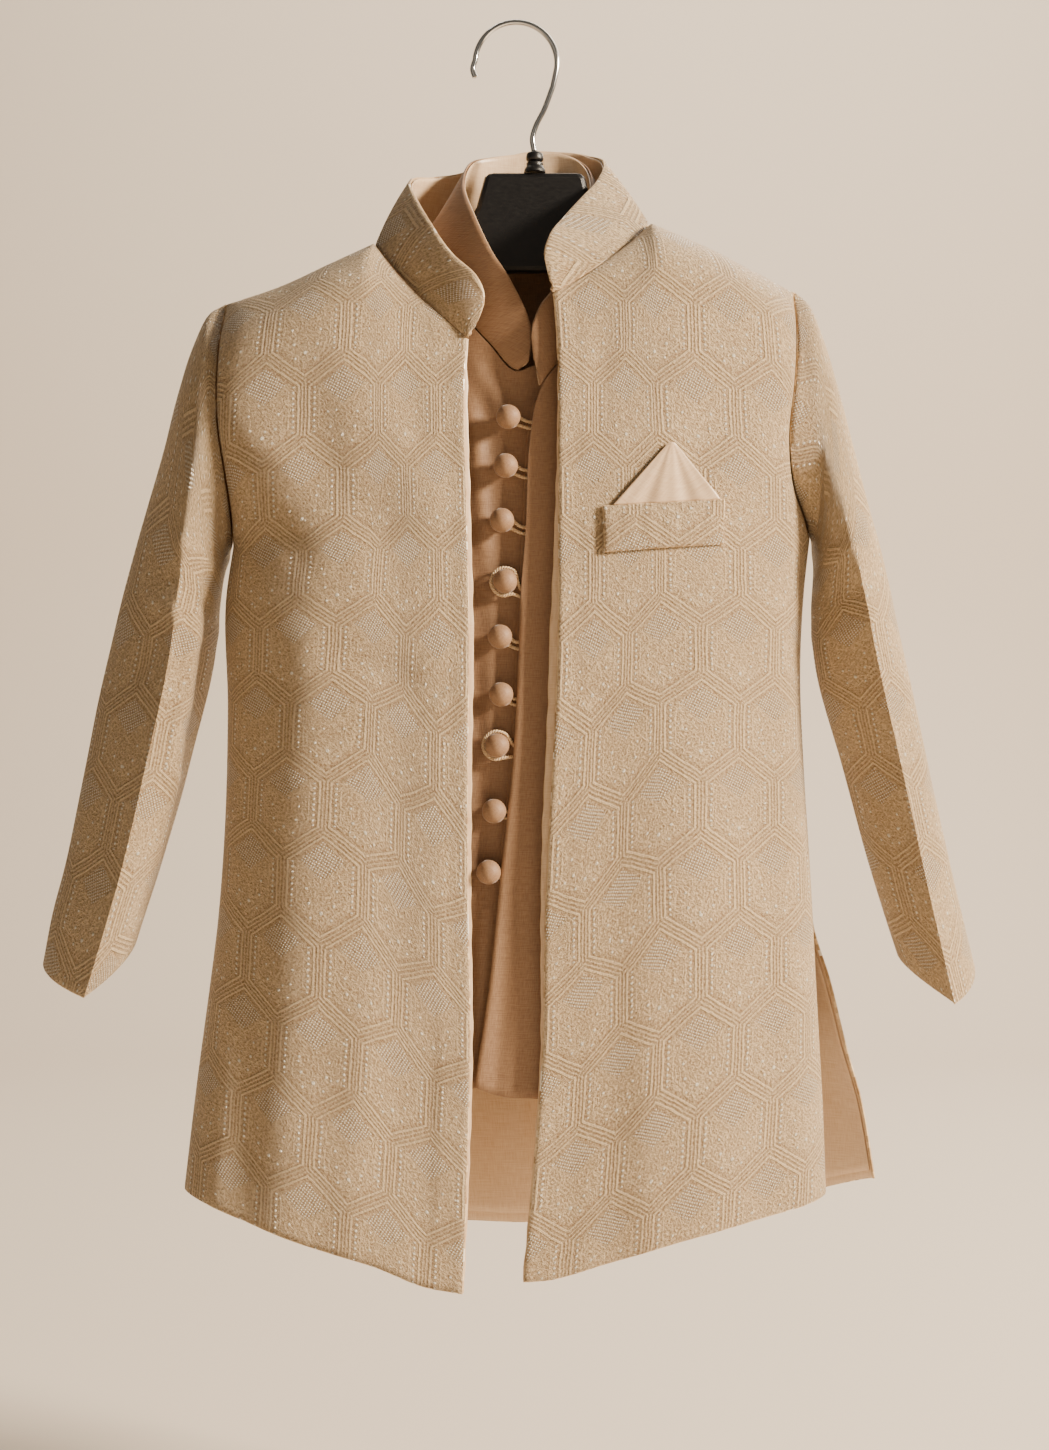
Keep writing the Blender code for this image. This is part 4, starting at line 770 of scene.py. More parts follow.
def back_seams(kind):
    """Where the back meets both fronts: its shoulders and its sides."""
    _, shoulder_steps, armhole_steps, _ = STEPS[kind]
    return [(0, slice(0, shoulder_steps + 1)), (0, slice(-shoulder_steps - 1, None)),
            (slice(armhole_steps, None), 0), (slice(armhole_steps, None), -1)]


print("the back's shoulder seam stands", BACK_SHOULDER_GAP, "mm behind the front's")

# %% [markdown]
# The tables below are the pattern pieces. A front and the back share the armhole and side rows, so
# moving one seam moves both pieces. The wearer's right side has the negative x.

# %% Outline of the jacket
# Fronts. Columns: x, y, z
EDGE_R = [(-24.2, -41.0, -167.1), (-25.0, -43.0, -182.0), (-24.1, -46.0, -248.0), (-22.8, -47.0, -314.0),
          (-23.4, -47.0, -366.0), (-23.4, -46.0, -440.0), (-22.4, -45.0, -509.0), (-24.1, -44.0, -578.0),
          (-26.1, -43.0, -632.0)]
EDGE_L = [(18.9, -45.0, -146.0), (20.5, -46.0, -169.0), (21.0, -47.0, -234.0), (21.0, -48.0, -305.0),
          (19.3, -48.0, -358.0), (17.0, -48.0, -400.0), (15.2, -48.0, -437.0), (13.0, -46.0, -521.0),
          (8.9, -45.0, -574.0), (4.1, -44.0, -626.0)]
NECK_R = [(-24.2, -41.0, -167.1), (-37.0, -37.0, -154.5), (-46.1, -32.0, -146.0), (-58.6, -21.0, -131.3),
          (-71.2, -6.0, -113.5)]
NECK_L = [(18.9, -45.0, -146.0), (33.8, -40.0, -136.0), (51.4, -29.0, -121.3), (60.0, -19.0, -112.7),
          (67.7, -6.0, -103.6)]
SHOULDER_R = [(-71.2, -6.0, -113.5), (-94.0, -6.0, -123.8), (-117.1, -6.0, -134.2), (-146.0, -5.0, -143.0)]
SHOULDER_L = [(67.7, -6.0, -103.6), (98.0, -6.0, -116.5), (116.1, -6.0, -125.4), (140.0, -5.0, -136.8)]
BACK_NECK = [(-71.2, -5.5, -113.5), (-58.0, 14.0, -102.5), (-34.6, 27.0, -93.5), (0.0, 31.0, -90.0),
             (30.0, 28.0, -91.5), (54.0, 13.0, -97.5), (67.7, -5.5, -103.6)]
# Armholes. Columns: x, z, y of the front, y of the back
ARMHOLE_R = [(-146.0, -143.0, -5.0, -4.5), (-146.9, -156.2, -16.0, 7.0), (-147.3, -168.5, -23.0, 16.0),
             (-147.4, -188.4, -29.0, 23.0), (-146.7, -208.0, -30.0, 25.0), (-144.2, -230.0, -24.0, 20.0),
             (-142.7, -252.0, -11.0, 9.0), (-143.5, -266.0, -0.2, 0.2)]
ARMHOLE_L = [(140.0, -136.8, -5.0, -4.5), (139.8, -152.0, -17.0, 7.0), (139.0, -169.7, -24.0, 17.0),
             (137.2, -188.4, -29.0, 23.0), (134.8, -212.0, -29.0, 25.0), (137.4, -235.0, -22.0, 18.0),
             (145.5, -253.0, -7.0, 6.0), (149.0, -262.0, -0.2, 0.2)]
# Side seams. Columns: x of the front, x of the back, z, y of the front, y of the back
SIDE_R = [(-143.5, -143.5, -266.0, -0.2, 0.2), (-147.0, -147.0, -290.0, -0.2, 0.2),
          (-146.3, -146.3, -346.5, -0.2, 0.2), (-148.6, -148.6, -420.6, -0.2, 0.2),
          (-151.6, -151.2, -457.0, -0.3, 0.6), (-155.0, -153.6, -485.0, -1.0, 3.0),
          (-161.6, -158.0, -536.4, -3.0, 7.0), (-167.0, -161.0, -588.0, -8.0, 12.0)]
SIDE_L = [(149.0, 149.0, -262.0, -0.2, 0.2), (146.3, 146.3, -286.5, -0.2, 0.2),
          (144.3, 144.3, -325.0, -0.2, 0.2), (146.0, 146.0, -376.0, -0.2, 0.2),
          (148.8, 148.8, -420.6, -0.2, 0.2), (150.9, 151.2, -457.0, -0.3, 0.8),
          (152.2, 160.5, -485.0, -1.0, 6.5), (153.8, 170.5, -522.0, -4.0, 13.0),
          (155.0, 178.5, -549.0, -6.0, 16.5), (155.9, 186.0, -590.0, -10.0, 20.0)]
# Hems. Columns: x, z. Then the back's depth and the share of its length
HEM_R = [(-26.1, -632.0), (-44.1, -628.8), (-68.9, -619.0), (-101.8, -609.2), (-134.9, -598.5),
         (-161.0, -589.8), (-167.0, -588.0)]
HEM_L = [(4.1, -626.0), (14.7, -625.4), (42.0, -618.1), (79.6, -606.8), (117.9, -598.0), (150.0, -591.4),
         (155.9, -590.0)]
HEM_BACK = [(-161.0, -590.0), (-145.0, -598.0), (-97.0, -612.0), (-9.8, -619.7), (97.2, -613.4),
            (162.7, -599.3), (186.0, -591.5)]
BACK_DEPTH = [(38.0, 0.0), (40.0, 0.45), (45.0, 1.0)]
# Large folds. Columns: x and z of the top, x and z of the foot, half width, height
FOLDS_R = [(-62.0, -200.0, -56.0, -560.0, 16.0, -2.2), (-98.0, -230.0, -112.0, -600.0, 15.0, 2.0),
           (-126.0, -300.0, -134.0, -590.0, 10.0, -2.4), (-40.0, -340.0, -92.0, -318.0, 9.0, -1.2)]
FOLDS_L = [(48.0, -330.0, 44.0, -610.0, 15.0, -1.8), (84.0, -290.0, 92.0, -600.0, 17.0, 2.0),
           (118.0, -240.0, 126.0, -590.0, 12.0, -2.4), (28.0, -352.0, 78.0, -330.0, 8.0, -1.0)]
FOLDS_BACK = [(-70.0, -190.0, -86.0, -600.0, 18.0, 3.0), (4.0, -150.0, 0.0, -600.0, 15.0, -2.4),
              (72.0, -200.0, 92.0, -600.0, 18.0, 3.2), (124.0, -330.0, 142.0, -590.0, 13.0, -2.6),
              (-122.0, -320.0, -130.0, -590.0, 12.0, -2.2)]
# How far the satin stands past the front edges. Columns: z, reach
FACING_REACH_R = [(-167.0, 0.3), (-190.0, 1.8), (-330.0, 2.3), (-470.0, 1.4), (-560.0, 1.2), (-632.0, 0.6)]
FACING_REACH_L = [(-146.0, 0.2), (-230.0, 0.8), (-312.0, 4.2), (-400.0, 3.6), (-440.0, 2.6), (-520.0, 0.9),
                  (-626.0, 0.4)]
print("front edges:", len(EDGE_R), "and", len(EDGE_L), "points")

# %% [markdown]
# The big troughs are the ones of the solid model. The short creases are added here: drag lines
# from the armhole, small nicks beside the front edge where a coat is pulled shut, and the slight
# swing of the hem.

# %% Sew the jacket's body
CREASES_R = [(-142.0, -205.0, -108.0, -232.0, 6.0, 1.0), (-141.0, -236.0, -104.0, -274.0, 7.0, -1.1),
             (-144.0, -262.0, -118.0, -300.0, 6.0, 0.9), (-25.0, -318.0, -56.0, -332.0, 3.0, 0.6),
             (-25.0, -330.0, -50.0, -350.0, 3.2, -0.7), (-27.0, -345.0, -60.0, -352.0, 3.0, 0.5),
             (-56.0, -160.0, -48.0, -215.0, 7.0, -1.0), (-84.0, -160.0, -72.0, -300.0, 11.0, 0.9),
             (-70.0, -470.0, -82.0, -610.0, 12.0, 1.5), (-40.0, -480.0, -44.0, -612.0, 9.0, -1.2),
             (-142.0, -480.0, -150.0, -585.0, 7.0, 1.2), (-115.0, -350.0, -120.0, -470.0, 8.0, 0.9),
             (-58.0, -126.0, -32.0, -162.0, 6.0, 1.6), (-66.0, -140.0, -36.0, -184.0, 8.0, -1.4),
             (-120.0, -180.0, -70.0, -262.0, 14.0, -1.6), (-100.0, -150.0, -44.0, -240.0, 14.0, 1.4)]
CREASES_L = [(134.0, -205.0, 100.0, -236.0, 6.0, 1.0), (138.0, -240.0, 104.0, -282.0, 7.0, -1.1),
             (143.0, -262.0, 118.0, -306.0, 6.0, 0.9), (23.0, -320.0, 60.0, -334.0, 3.0, 0.5),
             (23.0, -338.0, 56.0, -350.0, 3.0, -0.6), (44.0, -150.0, 40.0, -210.0, 7.0, -0.9),
             (82.0, -150.0, 72.0, -260.0, 11.0, 0.9), (62.0, -440.0, 66.0, -612.0, 12.0, 1.4),
             (28.0, -450.0, 24.0, -620.0, 8.0, -1.0), (138.0, -430.0, 144.0, -588.0, 7.0, 1.3),
             (62.0, -118.0, 30.0, -148.0, 6.0, 1.2), (118.0, -180.0, 70.0, -250.0, 13.0, -1.2)]
CREASES_BACK = [(-40.0, -300.0, -50.0, -605.0, 13.0, -1.8), (40.0, -280.0, 46.0, -608.0, 12.0, -1.6),
                (-110.0, -200.0, -60.0, -240.0, 9.0, 1.2), (112.0, -196.0, 62.0, -236.0, 9.0, 1.2),
                (-128.0, -250.0, -84.0, -300.0, 8.0, -1.1), (128.0, -246.0, 86.0, -296.0, 8.0, -1.0),
                (150.0, -440.0, 166.0, -596.0, 8.0, 1.4), (-146.0, -440.0, -150.0, -592.0, 7.0, 1.3)]

front_r = front_panel("jacket", EDGE_R, NECK_R, SHOULDER_R, ARMHOLE_R, SIDE_R, HEM_R,
                      FOLDS_R + CREASES_R, 0.35)
front_l = front_panel("jacket", EDGE_L, NECK_L, SHOULDER_L, ARMHOLE_L, SIDE_L, HEM_L,
                      FOLDS_L + CREASES_L, 0.3)
back = back_panel("jacket", BACK_NECK, (SHOULDER_R, SHOULDER_L), (ARMHOLE_R, ARMHOLE_L),
                  (SIDE_R, SIDE_L), HEM_BACK, BACK_DEPTH, FOLDS_BACK + CREASES_BACK, 0.5)
back_out = normals(back, -FORWARD, flat=back_seams("jacket"))
CHEST_ROW = STEPS["jacket"][2]
TURN_ROWS = 45
BACK_ASIDE = 200.0
lined = (brocade_cloth, satin_cloth)


def along_hem(cut):
    """Below the chest the pattern's rows turn until they run along the slanting hem."""
    below = np.clip((np.arange(len(cut)) - CHEST_ROW) / TURN_ROWS, 0, 1)[:, None]
    cut[:, :, 1] += below * (cut[:, :, 1].mean(axis=1, keepdims=True) - cut[:, :, 1])
    return cut


cut_r = along_hem(flat_cut(front_r, 0, front_r[CHEST_ROW, 0, 0], CHEST_ROW, -1.0))
cut_l = along_hem(flat_cut(front_l, 0, front_l[CHEST_ROW, 0, 0], CHEST_ROW))
cut_back = flat_cut(back, back.shape[1] // 2, BACK_ASIDE, CHEST_ROW)
cloth_wall("jacket_right_front", "jacket_front_r", "brocade", front_r,
           normals(front_r, FORWARD, flat=front_seams("jacket")), BROCADE, cut_r, lined)
cloth_wall("jacket_left_front", "jacket_front_l", "brocade", front_l,
           normals(front_l, FORWARD, flat=front_seams("jacket")), BROCADE, cut_l, lined)
cloth_wall("jacket_back_panel", "jacket_back", "brocade", back, back_out, BROCADE, cut_back, lined)
print("cuts in mm and square metres:", CUT_SIZES)

# %% [markdown]
# ## Satin facings and back lining
# The lining is cut a little larger than the brocade along the front edges, so a thread of satin
# looks out past them, as on most well-made coats. Along the slits and the hem it stops short
# instead, and the brocade's turned edge shows. Its edge is held by small stitches, which pucker it
# a little, so the strip's reach wanders.

# %% Line the jacket
FACING_SHARE = 0.8
LINING_UP = 5.0
LINING_IN = 2.8
LINING_GRID = (90, 96)
LINING_CUT_ROW = 10
WIDE_ROW = -30
PUCKER_REACH = 0.25


def facing(name, node, panel, reach, side, cut):
    """The satin behind a front's edge, which reaches a little past it."""
    last = int(STEPS["jacket"][0] * FACING_SHARE) + 1
    strip = panel[:, :last].copy()
    zs = strip[:, 0, 2]
    wander = PUCKER_REACH * np.sin(zs / 3.1) * np.sin(zs / 17.0)
    past = np.interp(-zs, [-row[0] for row in reach], [row[1] for row in reach])
    strip[:, 0, 0] -= side * (past + wander)
    cloth_wall(name, node, "satin", strip, normals(panel, FORWARD)[:, :last], SATIN, cut[:, :last],
               (satin_cloth,), sunk=BROCADE + SEAM_GAP)


facing("right_facing", "facing_r", front_r, FACING_REACH_R, -1, cut_r)
facing("left_facing", "facing_l", front_l, FACING_REACH_L, 1, cut_l)

rows, cols = back.shape[:2]
row_gap = np.linalg.norm(back[-1, cols // 2] - back[-2, cols // 2])
rows_at = np.linspace(CHEST_ROW, rows - 1 - LINING_UP / row_gap, LINING_GRID[0])
width_at = run_along(back[WIDE_ROW])
cols_at = np.interp(np.linspace(LINING_IN, width_at[-1] - LINING_IN, LINING_GRID[1]), width_at,
                    np.arange(cols))
lining = resample(back, rows_at, cols_at)
lining_out = resample(back_out, rows_at, cols_at)
cloth_wall("back_satin", "back_lining", "satin", lining, lining_out, SATIN,
           flat_cut(lining, LINING_GRID[1] // 2, 0.0, LINING_CUT_ROW), (satin_cloth,),
           sunk=BROCADE + SEAM_GAP)
print("satin pieces:", [name for name in CUT_SIZES if "facing" in name or "satin" in name])

# %% [markdown]
# ## Sleeves
# A sleeve is a tube that starts as the armhole and is pressed flat towards the cuff, with a sharp
# crease down the face that looks at the viewer. Each ring is half a cosine on both sides of the
# crease. Where the crease is sharp, the cosine is blended with a roof shape. A tube modifier on a
# curve couldn't press a crease in, so the rings are worked out one by one.

# %% Rings of a sleeve
SLEEVE_ROWS = 112
SLEEVE_GAP = 0.8
FACET_POWER = 0.6
SLEEVE_BACK = 0.82
DROP_BACK = 0.3
FOLDS_START = 0.08
FACE_TURN = 2.2
BEHIND_ASIDE = 12
BEHIND_SHARE = 0.8
SLEEVE_ASIDE = 260.0
SLEEVE_TOP = -150.0
SLEEVE_CUT_ROW = 6
SLEEVE_RIPPLE = 0.3


def ring_of_sleeve(row, half_count):
    """One ring, from its outer side over the front crease, then back behind."""
    x_out, z_out, x_in, z_in, deep, sharp, crease, drop = row
    half = np.array((x_out - x_in, z_out - z_in)) / 2
    middle = np.array((x_out + x_in, z_out + z_in)) / 2
    ring = []
    for j in range(2 * half_count):
        front = j <= half_count
        t = math.cos(math.pi * j / half_count)
        bulge = (1 - sharp) * math.sqrt(1 - t * t) + sharp * (1 - abs(t)) ** FACET_POWER
        x, z = middle + half * (t + (crease if front else crease / 2) * (1 - t * t))
        y = -deep * bulge if front else deep * SLEEVE_BACK * bulge
        ring.append((x, y, z - (drop * bulge if front else -drop * DROP_BACK * bulge)))
    return ring


def sleeve(name, node, table, front, side, folds):
    """A set-in sleeve: its first ring is the armhole of the front and the back, moved out."""
    arm = STEPS["jacket"][2]
    hole = np.vstack((front[:arm + 1, -1], back[arm - 1:0:-1, 0 if side < 0 else -1]))
    hole = hole + np.array((side * SLEEVE_GAP, 0.0, 0.0))
    rings = np.array([hole] + [ring_of_sleeve(row, arm) for row in table])
    middles = rings.mean(axis=1)
    knots = run_along(middles) / run_along(middles)[-1]
    grid = through(rings, evenly(SLEEVE_ROWS), knots)
    out = normals(grid, grid - grid.mean(axis=1)[:, None, :], closed=True)
    x, y, z = grid[:, :, 0], grid[:, :, 1], grid[:, :, 2]
    ends = np.clip(evenly(SLEEVE_ROWS) / FOLDS_START, 0, 1)[:, None]
    in_front = np.clip(-out[:, :, 1] * FACE_TURN, 0, 1)
    behind = np.clip(out[:, :, 1] * FACE_TURN, 0, 1)
    height = fold_depth(x, z, folds) * in_front
    height += fold_depth(x + side * BEHIND_ASIDE, z, folds[::2]) * BEHIND_SHARE * behind
    grid = grid + out * ((height + ripple(x + y, z, SLEEVE_RIPPLE)) * ends)[:, :, None]
    grid = np.roll(grid, -arm, axis=1)
    out = normals(grid, grid - grid.mean(axis=1)[:, None, :], closed=True)
    cut = flat_cut(grid, arm, side * SLEEVE_ASIDE, SLEEVE_CUT_ROW, side * 1.0, closed=True)
    cut[:, :, 1] = (SLEEVE_TOP - run_along(grid.mean(axis=1))[:, None]) * MM
    cloth_wall(name, node, "brocade", grid, out, BROCADE, cut, lined,
               closed=True)


# Columns: outer x and z, inner x and z, half depth, how sharp the crease is, where it lies from
# the inner side (-1) to the outer side (1), how far its hem hangs lower
SLEEVE_R = [(-156.0, -148.2, -145.2, -266.8, 31.0, 0.0, 0.0, 0.0),
            (-163.5, -164.0, -145.9, -269.3, 31.0, 0.0, 0.0, 0.0),
            (-170.8, -187.0, -146.7, -273.0, 31.0, 0.1, -0.05, 0.0),
            (-178.4, -215.9, -147.9, -278.0, 31.0, 0.3, -0.12, 0.0),
            (-186.5, -243.8, -149.2, -285.0, 30.5, 0.5, -0.2, 0.0),
            (-194.8, -271.8, -150.4, -295.0, 30.0, 0.75, -0.28, 0.0),
            (-206.0, -316.5, -153.6, -325.0, 30.0, 1.0, -0.34, 0.0),
            (-217.7, -372.0, -166.6, -379.0, 29.0, 1.0, -0.35, 2.0),
            (-229.4, -428.0, -180.9, -428.2, 28.0, 1.0, -0.33, 8.0),
            (-235.6, -453.0, -187.4, -449.0, 27.5, 1.0, -0.25, 14.0),
            (-240.0, -476.0, -192.5, -465.5, 27.0, 1.0, -0.12, 20.0)]
SLEEVE_L = [(149.0, -143.6, 150.8, -263.8, 31.0, 0.0, 0.0, 0.0),
            (155.0, -158.5, 151.2, -267.5, 31.0, 0.0, 0.0, 0.0),
            (162.5, -183.4, 151.4, -272.0, 31.0, 0.1, 0.0, 0.0),
            (171.0, -214.4, 151.2, -278.0, 31.0, 0.3, 0.04, 0.0),
            (178.6, -243.8, 150.6, -286.0, 30.5, 0.5, 0.08, 0.0),
            (186.4, -271.8, 150.0, -297.0, 30.0, 0.75, 0.12, 0.0),
            (197.3, -320.0, 152.4, -328.0, 30.0, 1.0, 0.15, 0.0),
            (208.8, -374.0, 165.4, -376.0, 29.0, 1.0, 0.16, 2.0),
            (220.5, -428.0, 179.4, -428.0, 28.0, 1.0, 0.17, 7.0),
            (226.6, -453.0, 186.5, -451.0, 27.5, 1.0, 0.18, 12.0),
            (232.6, -477.5, 193.5, -472.0, 27.0, 1.0, 0.2, 18.0)]
print("rings of a sleeve's table:", len(SLEEVE_R))

# %% [markdown]
# The elbows carry short crumples that run across the arm, and the right sleeve has a second, wavy
# crease where it was folded for storage.

# %% Set the sleeves in
SLEEVE_FOLDS_R = [(-172.0, -262.0, -148.0, -280.0, 4.0, 1.5), (-176.0, -276.0, -152.0, -300.0, 4.5, -1.4),
                  (-186.0, -286.0, -160.0, -312.0, 4.5, 1.3), (-168.0, -300.0, -186.0, -330.0, 5.0, -0.9),
                  (-157.0, -288.0, -164.0, -344.0, 3.2, 2.6), (-166.0, -334.0, -171.5, -382.0, 3.2, 2.4),
                  (-170.0, -372.0, -181.0, -436.0, 3.2, 2.2), (-150.0, -290.0, -163.5, -380.0, 3.0, -3.4),
                  (-162.5, -372.0, -175.0, -436.0, 2.8, -2.8), (-160.0, -190.0, -178.0, -250.0, 7.0, -1.2),
                  (-152.0, -200.0, -160.0, -262.0, 6.0, 1.0), (-205.0, -370.0, -216.0, -440.0, 5.0, -0.7)]
SLEEVE_FOLDS_L = [(150.0, -276.0, 176.0, -262.0, 4.5, 1.2), (152.0, -296.0, 182.0, -280.0, 4.5, -1.2),
                  (156.0, -316.0, 178.0, -300.0, 4.5, 0.9), (160.0, -190.0, 172.0, -250.0, 7.0, -1.1),
                  (186.0, -330.0, 200.0, -400.0, 6.0, -0.7), (196.0, -340.0, 212.0, -420.0, 5.0, 0.6),
                  (160.0, -350.0, 176.0, -420.0, 4.0, -0.8), (172.0, -380.0, 190.0, -450.0, 4.0, 0.6)]
sleeve("right_sleeve", "jacket_sleeve_r", SLEEVE_R, front_r, -1, SLEEVE_FOLDS_R)
sleeve("left_sleeve", "jacket_sleeve_l", SLEEVE_L, front_l, 1, SLEEVE_FOLDS_L)
print("sleeve cuts:", CUT_SIZES["right_sleeve"], CUT_SIZES["left_sleeve"])

# %% [markdown]
# ## The plain layer below
# It hangs straight down from the hanger's arms. The wearer's left front laps over the right one and
# carries the loops, and drag folds run from the collar's tip towards the first button, because the
# layer is pinned there. It is thinner than the brocade, so its folds are narrower.

# %% Outline of the plain layer
FLAP_EDGE = [(12.4, -40.5, -191.0), (9.9, -40.5, -198.2), (7.5, -40.5, -212.4), (5.0, -40.5, -260.8),
             (2.6, -40.5, -293.0), (1.7, -40.5, -320.0), (-1.0, -40.5, -372.0), (-6.7, -40.5, -426.5),
             (-12.6, -40.5, -483.6), (-19.9, -40.0, -532.0)]
UNDER_EDGE = [(22.0, -32.4, -181.0), (19.0, -35.0, -214.0), (17.0, -35.0, -261.0), (13.6, -35.0, -320.0),
              (11.0, -35.0, -372.0), (5.3, -35.0, -426.5), (-0.6, -35.0, -483.6), (-7.9, -35.0, -532.0)]
INNER_NECK_R = [(22.0, -32.4, -181.0), (10.0, -32.2, -178.6), (1.0, -32.8, -182.0), (-13.0, -32.5, -168.8),
                (-20.1, -31.0, -161.0), (-32.6, -25.0, -144.4), (-43.5, -15.0, -127.6), (-50.0, -3.0, -112.2)]
INNER_NECK_L = [(12.4, -40.5, -191.0), (14.8, -40.6, -186.9), (19.7, -39.5, -180.8), (27.0, -37.0, -169.8),
                (37.0, -31.0, -151.8), (49.0, -20.0, -127.7), (54.8, -3.0, -106.4)]
INNER_BACK_NECK = [(-50.0, -2.5, -112.2), (-42.0, 13.0, -104.6), (-19.0, 22.5, -98.6), (4.0, 24.5, -95.6),
                   (28.0, 21.0, -97.1), (46.0, 10.0, -101.6), (54.8, -2.5, -106.4)]
INNER_SHOULDER_R = [(-50.0, -3.0, -112.2), (-85.0, -3.0, -127.0), (-128.0, -3.0, -145.4)]
INNER_SHOULDER_L = [(54.8, -3.0, -106.4), (86.0, -3.0, -119.6), (124.0, -3.0, -135.7)]
INNER_ARMHOLE_R = [(-128.0, -145.4, -3.0, -2.5), (-126.5, -149.5, -12.0, 9.0), (-123.0, -165.0, -20.0, 13.0),
                   (-118.0, -188.0, -25.0, 15.0), (-117.0, -214.0, -24.0, 14.0), (-123.0, -241.0, -10.0, 7.0),
                   (-130.0, -262.0, -0.2, 0.2)]
INNER_ARMHOLE_L = [(124.0, -135.7, -3.0, -2.5), (122.8, -140.0, -12.0, 9.0), (119.5, -157.0, -20.0, 13.0),
                   (114.0, -181.0, -25.0, 15.0), (113.0, -208.0, -24.0, 14.0), (120.0, -238.0, -10.0, 7.0),
                   (128.0, -258.0, -0.2, 0.2)]
INNER_SIDE_R = [(-130.0, -130.0, -262.0, -0.2, 0.2), (-132.0, -132.0, -300.0, -0.2, 0.2),
                (-133.0, -133.0, -400.0, -0.2, 0.2), (-140.0, -140.0, -530.0, -0.2, 0.2)]
INNER_SIDE_L = [(128.0, 128.0, -258.0, -0.2, 0.2), (130.0, 130.0, -300.0, -0.2, 0.2),
                (130.0, 130.0, -400.0, -0.2, 0.2), (137.0, 137.0, -532.0, -0.2, 0.2)]
INNER_HEM_R = [(-7.9, -532.0), (-20.4, -533.4), (-70.0, -535.0), (-140.0, -530.0)]
INNER_HEM_L = [(-19.9, -532.0), (-8.7, -536.3), (8.9, -537.6), (70.0, -538.0), (137.0, -532.0)]
INNER_HEM_BACK = [(-140.0, -530.0), (-70.0, -535.0), (0.0, -537.0), (70.0, -537.0), (137.0, -532.0)]
INNER_BACK_DEPTH = [(24.0, 0.0), (25.0, 0.5), (27.0, 1.0)]
FOLDS_INNER_R = [(-22.0, -166.0, -6.0, -208.0, 4.0, 1.6), (-23.0, -182.0, -16.0, -262.0, 4.5, 1.5),
                 (-14.0, -172.0, -12.0, -230.0, 4.0, -1.2), (-12.0, -430.0, -18.0, -530.0, 5.0, 1.0)]

print("flap edge:", len(FLAP_EDGE), "points")

# %% [markdown]
# Soft cloth keeps more and narrower folds than brocade. The drags start at the neck and end at the
# buttons, which is where such a layer is held. The soft folds run down with the weight of the cloth.

# %% Sew the plain layer
DRAGS = [(-26.0, -172.0, 0.0, -206.0, 4.0, 1.3), (-26.0, -186.0, -6.0, -214.0, 4.0, -1.0),
         (-26.0, -200.0, -10.0, -232.0, 4.0, 1.0), (-18.0, -176.0, 8.0, -200.0, 3.5, -0.9)]
SOFT_FOLDS_R = [(-20.0, -200.0, -12.0, -300.0, 4.0, 0.9), (-21.0, -300.0, -15.0, -420.0, 4.0, -0.8),
                (-12.0, -300.0, -14.0, -400.0, 3.0, 0.6), (-16.0, -420.0, -20.0, -530.0, 4.0, 0.8)]
SOFT_FOLDS_L = [(8.0, -200.0, 12.0, -300.0, 3.5, 0.6), (14.0, -260.0, 10.0, -380.0, 4.0, -0.8),
                (6.0, -380.0, 2.0, -500.0, 4.0, 0.9), (-6.0, -440.0, -10.0, -535.0, 3.5, -0.7),
                (60.0, -200.0, 66.0, -530.0, 12.0, 1.6), (96.0, -230.0, 104.0, -530.0, 9.0, -1.4)]
SOFT_FOLDS_BACK = [(-60.0, -200.0, -66.0, -530.0, 12.0, -1.4), (0.0, -180.0, 6.0, -530.0, 14.0, 1.6),
                   (64.0, -200.0, 70.0, -530.0, 11.0, -1.4)]
under = front_panel("inner", UNDER_EDGE, INNER_NECK_R, INNER_SHOULDER_R, INNER_ARMHOLE_R, INNER_SIDE_R,
                    INNER_HEM_R, FOLDS_INNER_R + DRAGS + SOFT_FOLDS_R, 0.2)
flap = front_panel("inner", FLAP_EDGE, INNER_NECK_L, INNER_SHOULDER_L, INNER_ARMHOLE_L, INNER_SIDE_L,
                   INNER_HEM_L, SOFT_FOLDS_L, 0.2)
inner_back = back_panel("inner", INNER_BACK_NECK, (INNER_SHOULDER_R, INNER_SHOULDER_L),
                        (INNER_ARMHOLE_R, INNER_ARMHOLE_L), (INNER_SIDE_R, INNER_SIDE_L),
                        INNER_HEM_BACK, INNER_BACK_DEPTH, SOFT_FOLDS_BACK, 0.0)
WAIST_ROW = STEPS["inner"][2]
PLAIN_ASIDE = 5.0
PLAIN_BACK_ASIDE = 300.0
plain = (slub_cloth,)
for name, node, panel, sign in (("plain_right_front", "inner_front_r", under, -1.0),
                                ("plain_left_front", "inner_front_l", flap, 1.0)):
    cloth_wall(name, node, "silk", panel, normals(panel, FORWARD, flat=front_seams("inner")), SILK,
               flat_cut(panel, 0, sign * PLAIN_ASIDE, WAIST_ROW, sign), plain)
cloth_wall("plain_back", "inner_back", "silk", inner_back,
           normals(inner_back, -FORWARD, flat=back_seams("inner")), SILK,
           flat_cut(inner_back, inner_back.shape[1] // 2, PLAIN_BACK_ASIDE, WAIST_ROW), plain)
print("plain layer:", CUT_SIZES["plain_right_front"], CUT_SIZES["plain_left_front"])

# %% [markdown]
# ## Stand collars
# A stand collar is a straight band sewn to the curved neck seam. Here its foot is read from the
# very points of the panels' neck, and its top from a table. Between them it leans out a little.
# The satin inside is held at the top and the foot only, so it puckers at the back of the neck.

# %% Collars
COLLAR_WALL = 1.6
COLLAR_GAP = {"jacket": 0.5, "inner": 1.2}
COLLAR_BULGE = {"jacket": 1.2, "inner": 0.8}
COLLAR_ROWS = 18
OVERLAP_SHARE = {"jacket": 0.0, "inner": 0.2}
COLLAR_ASIDE = 400.0
PUCKER = 0.45
PUCKER_HALF = 0.16
PUCKER_TURNS = 190.0
LINING_LOOSE = 0.1
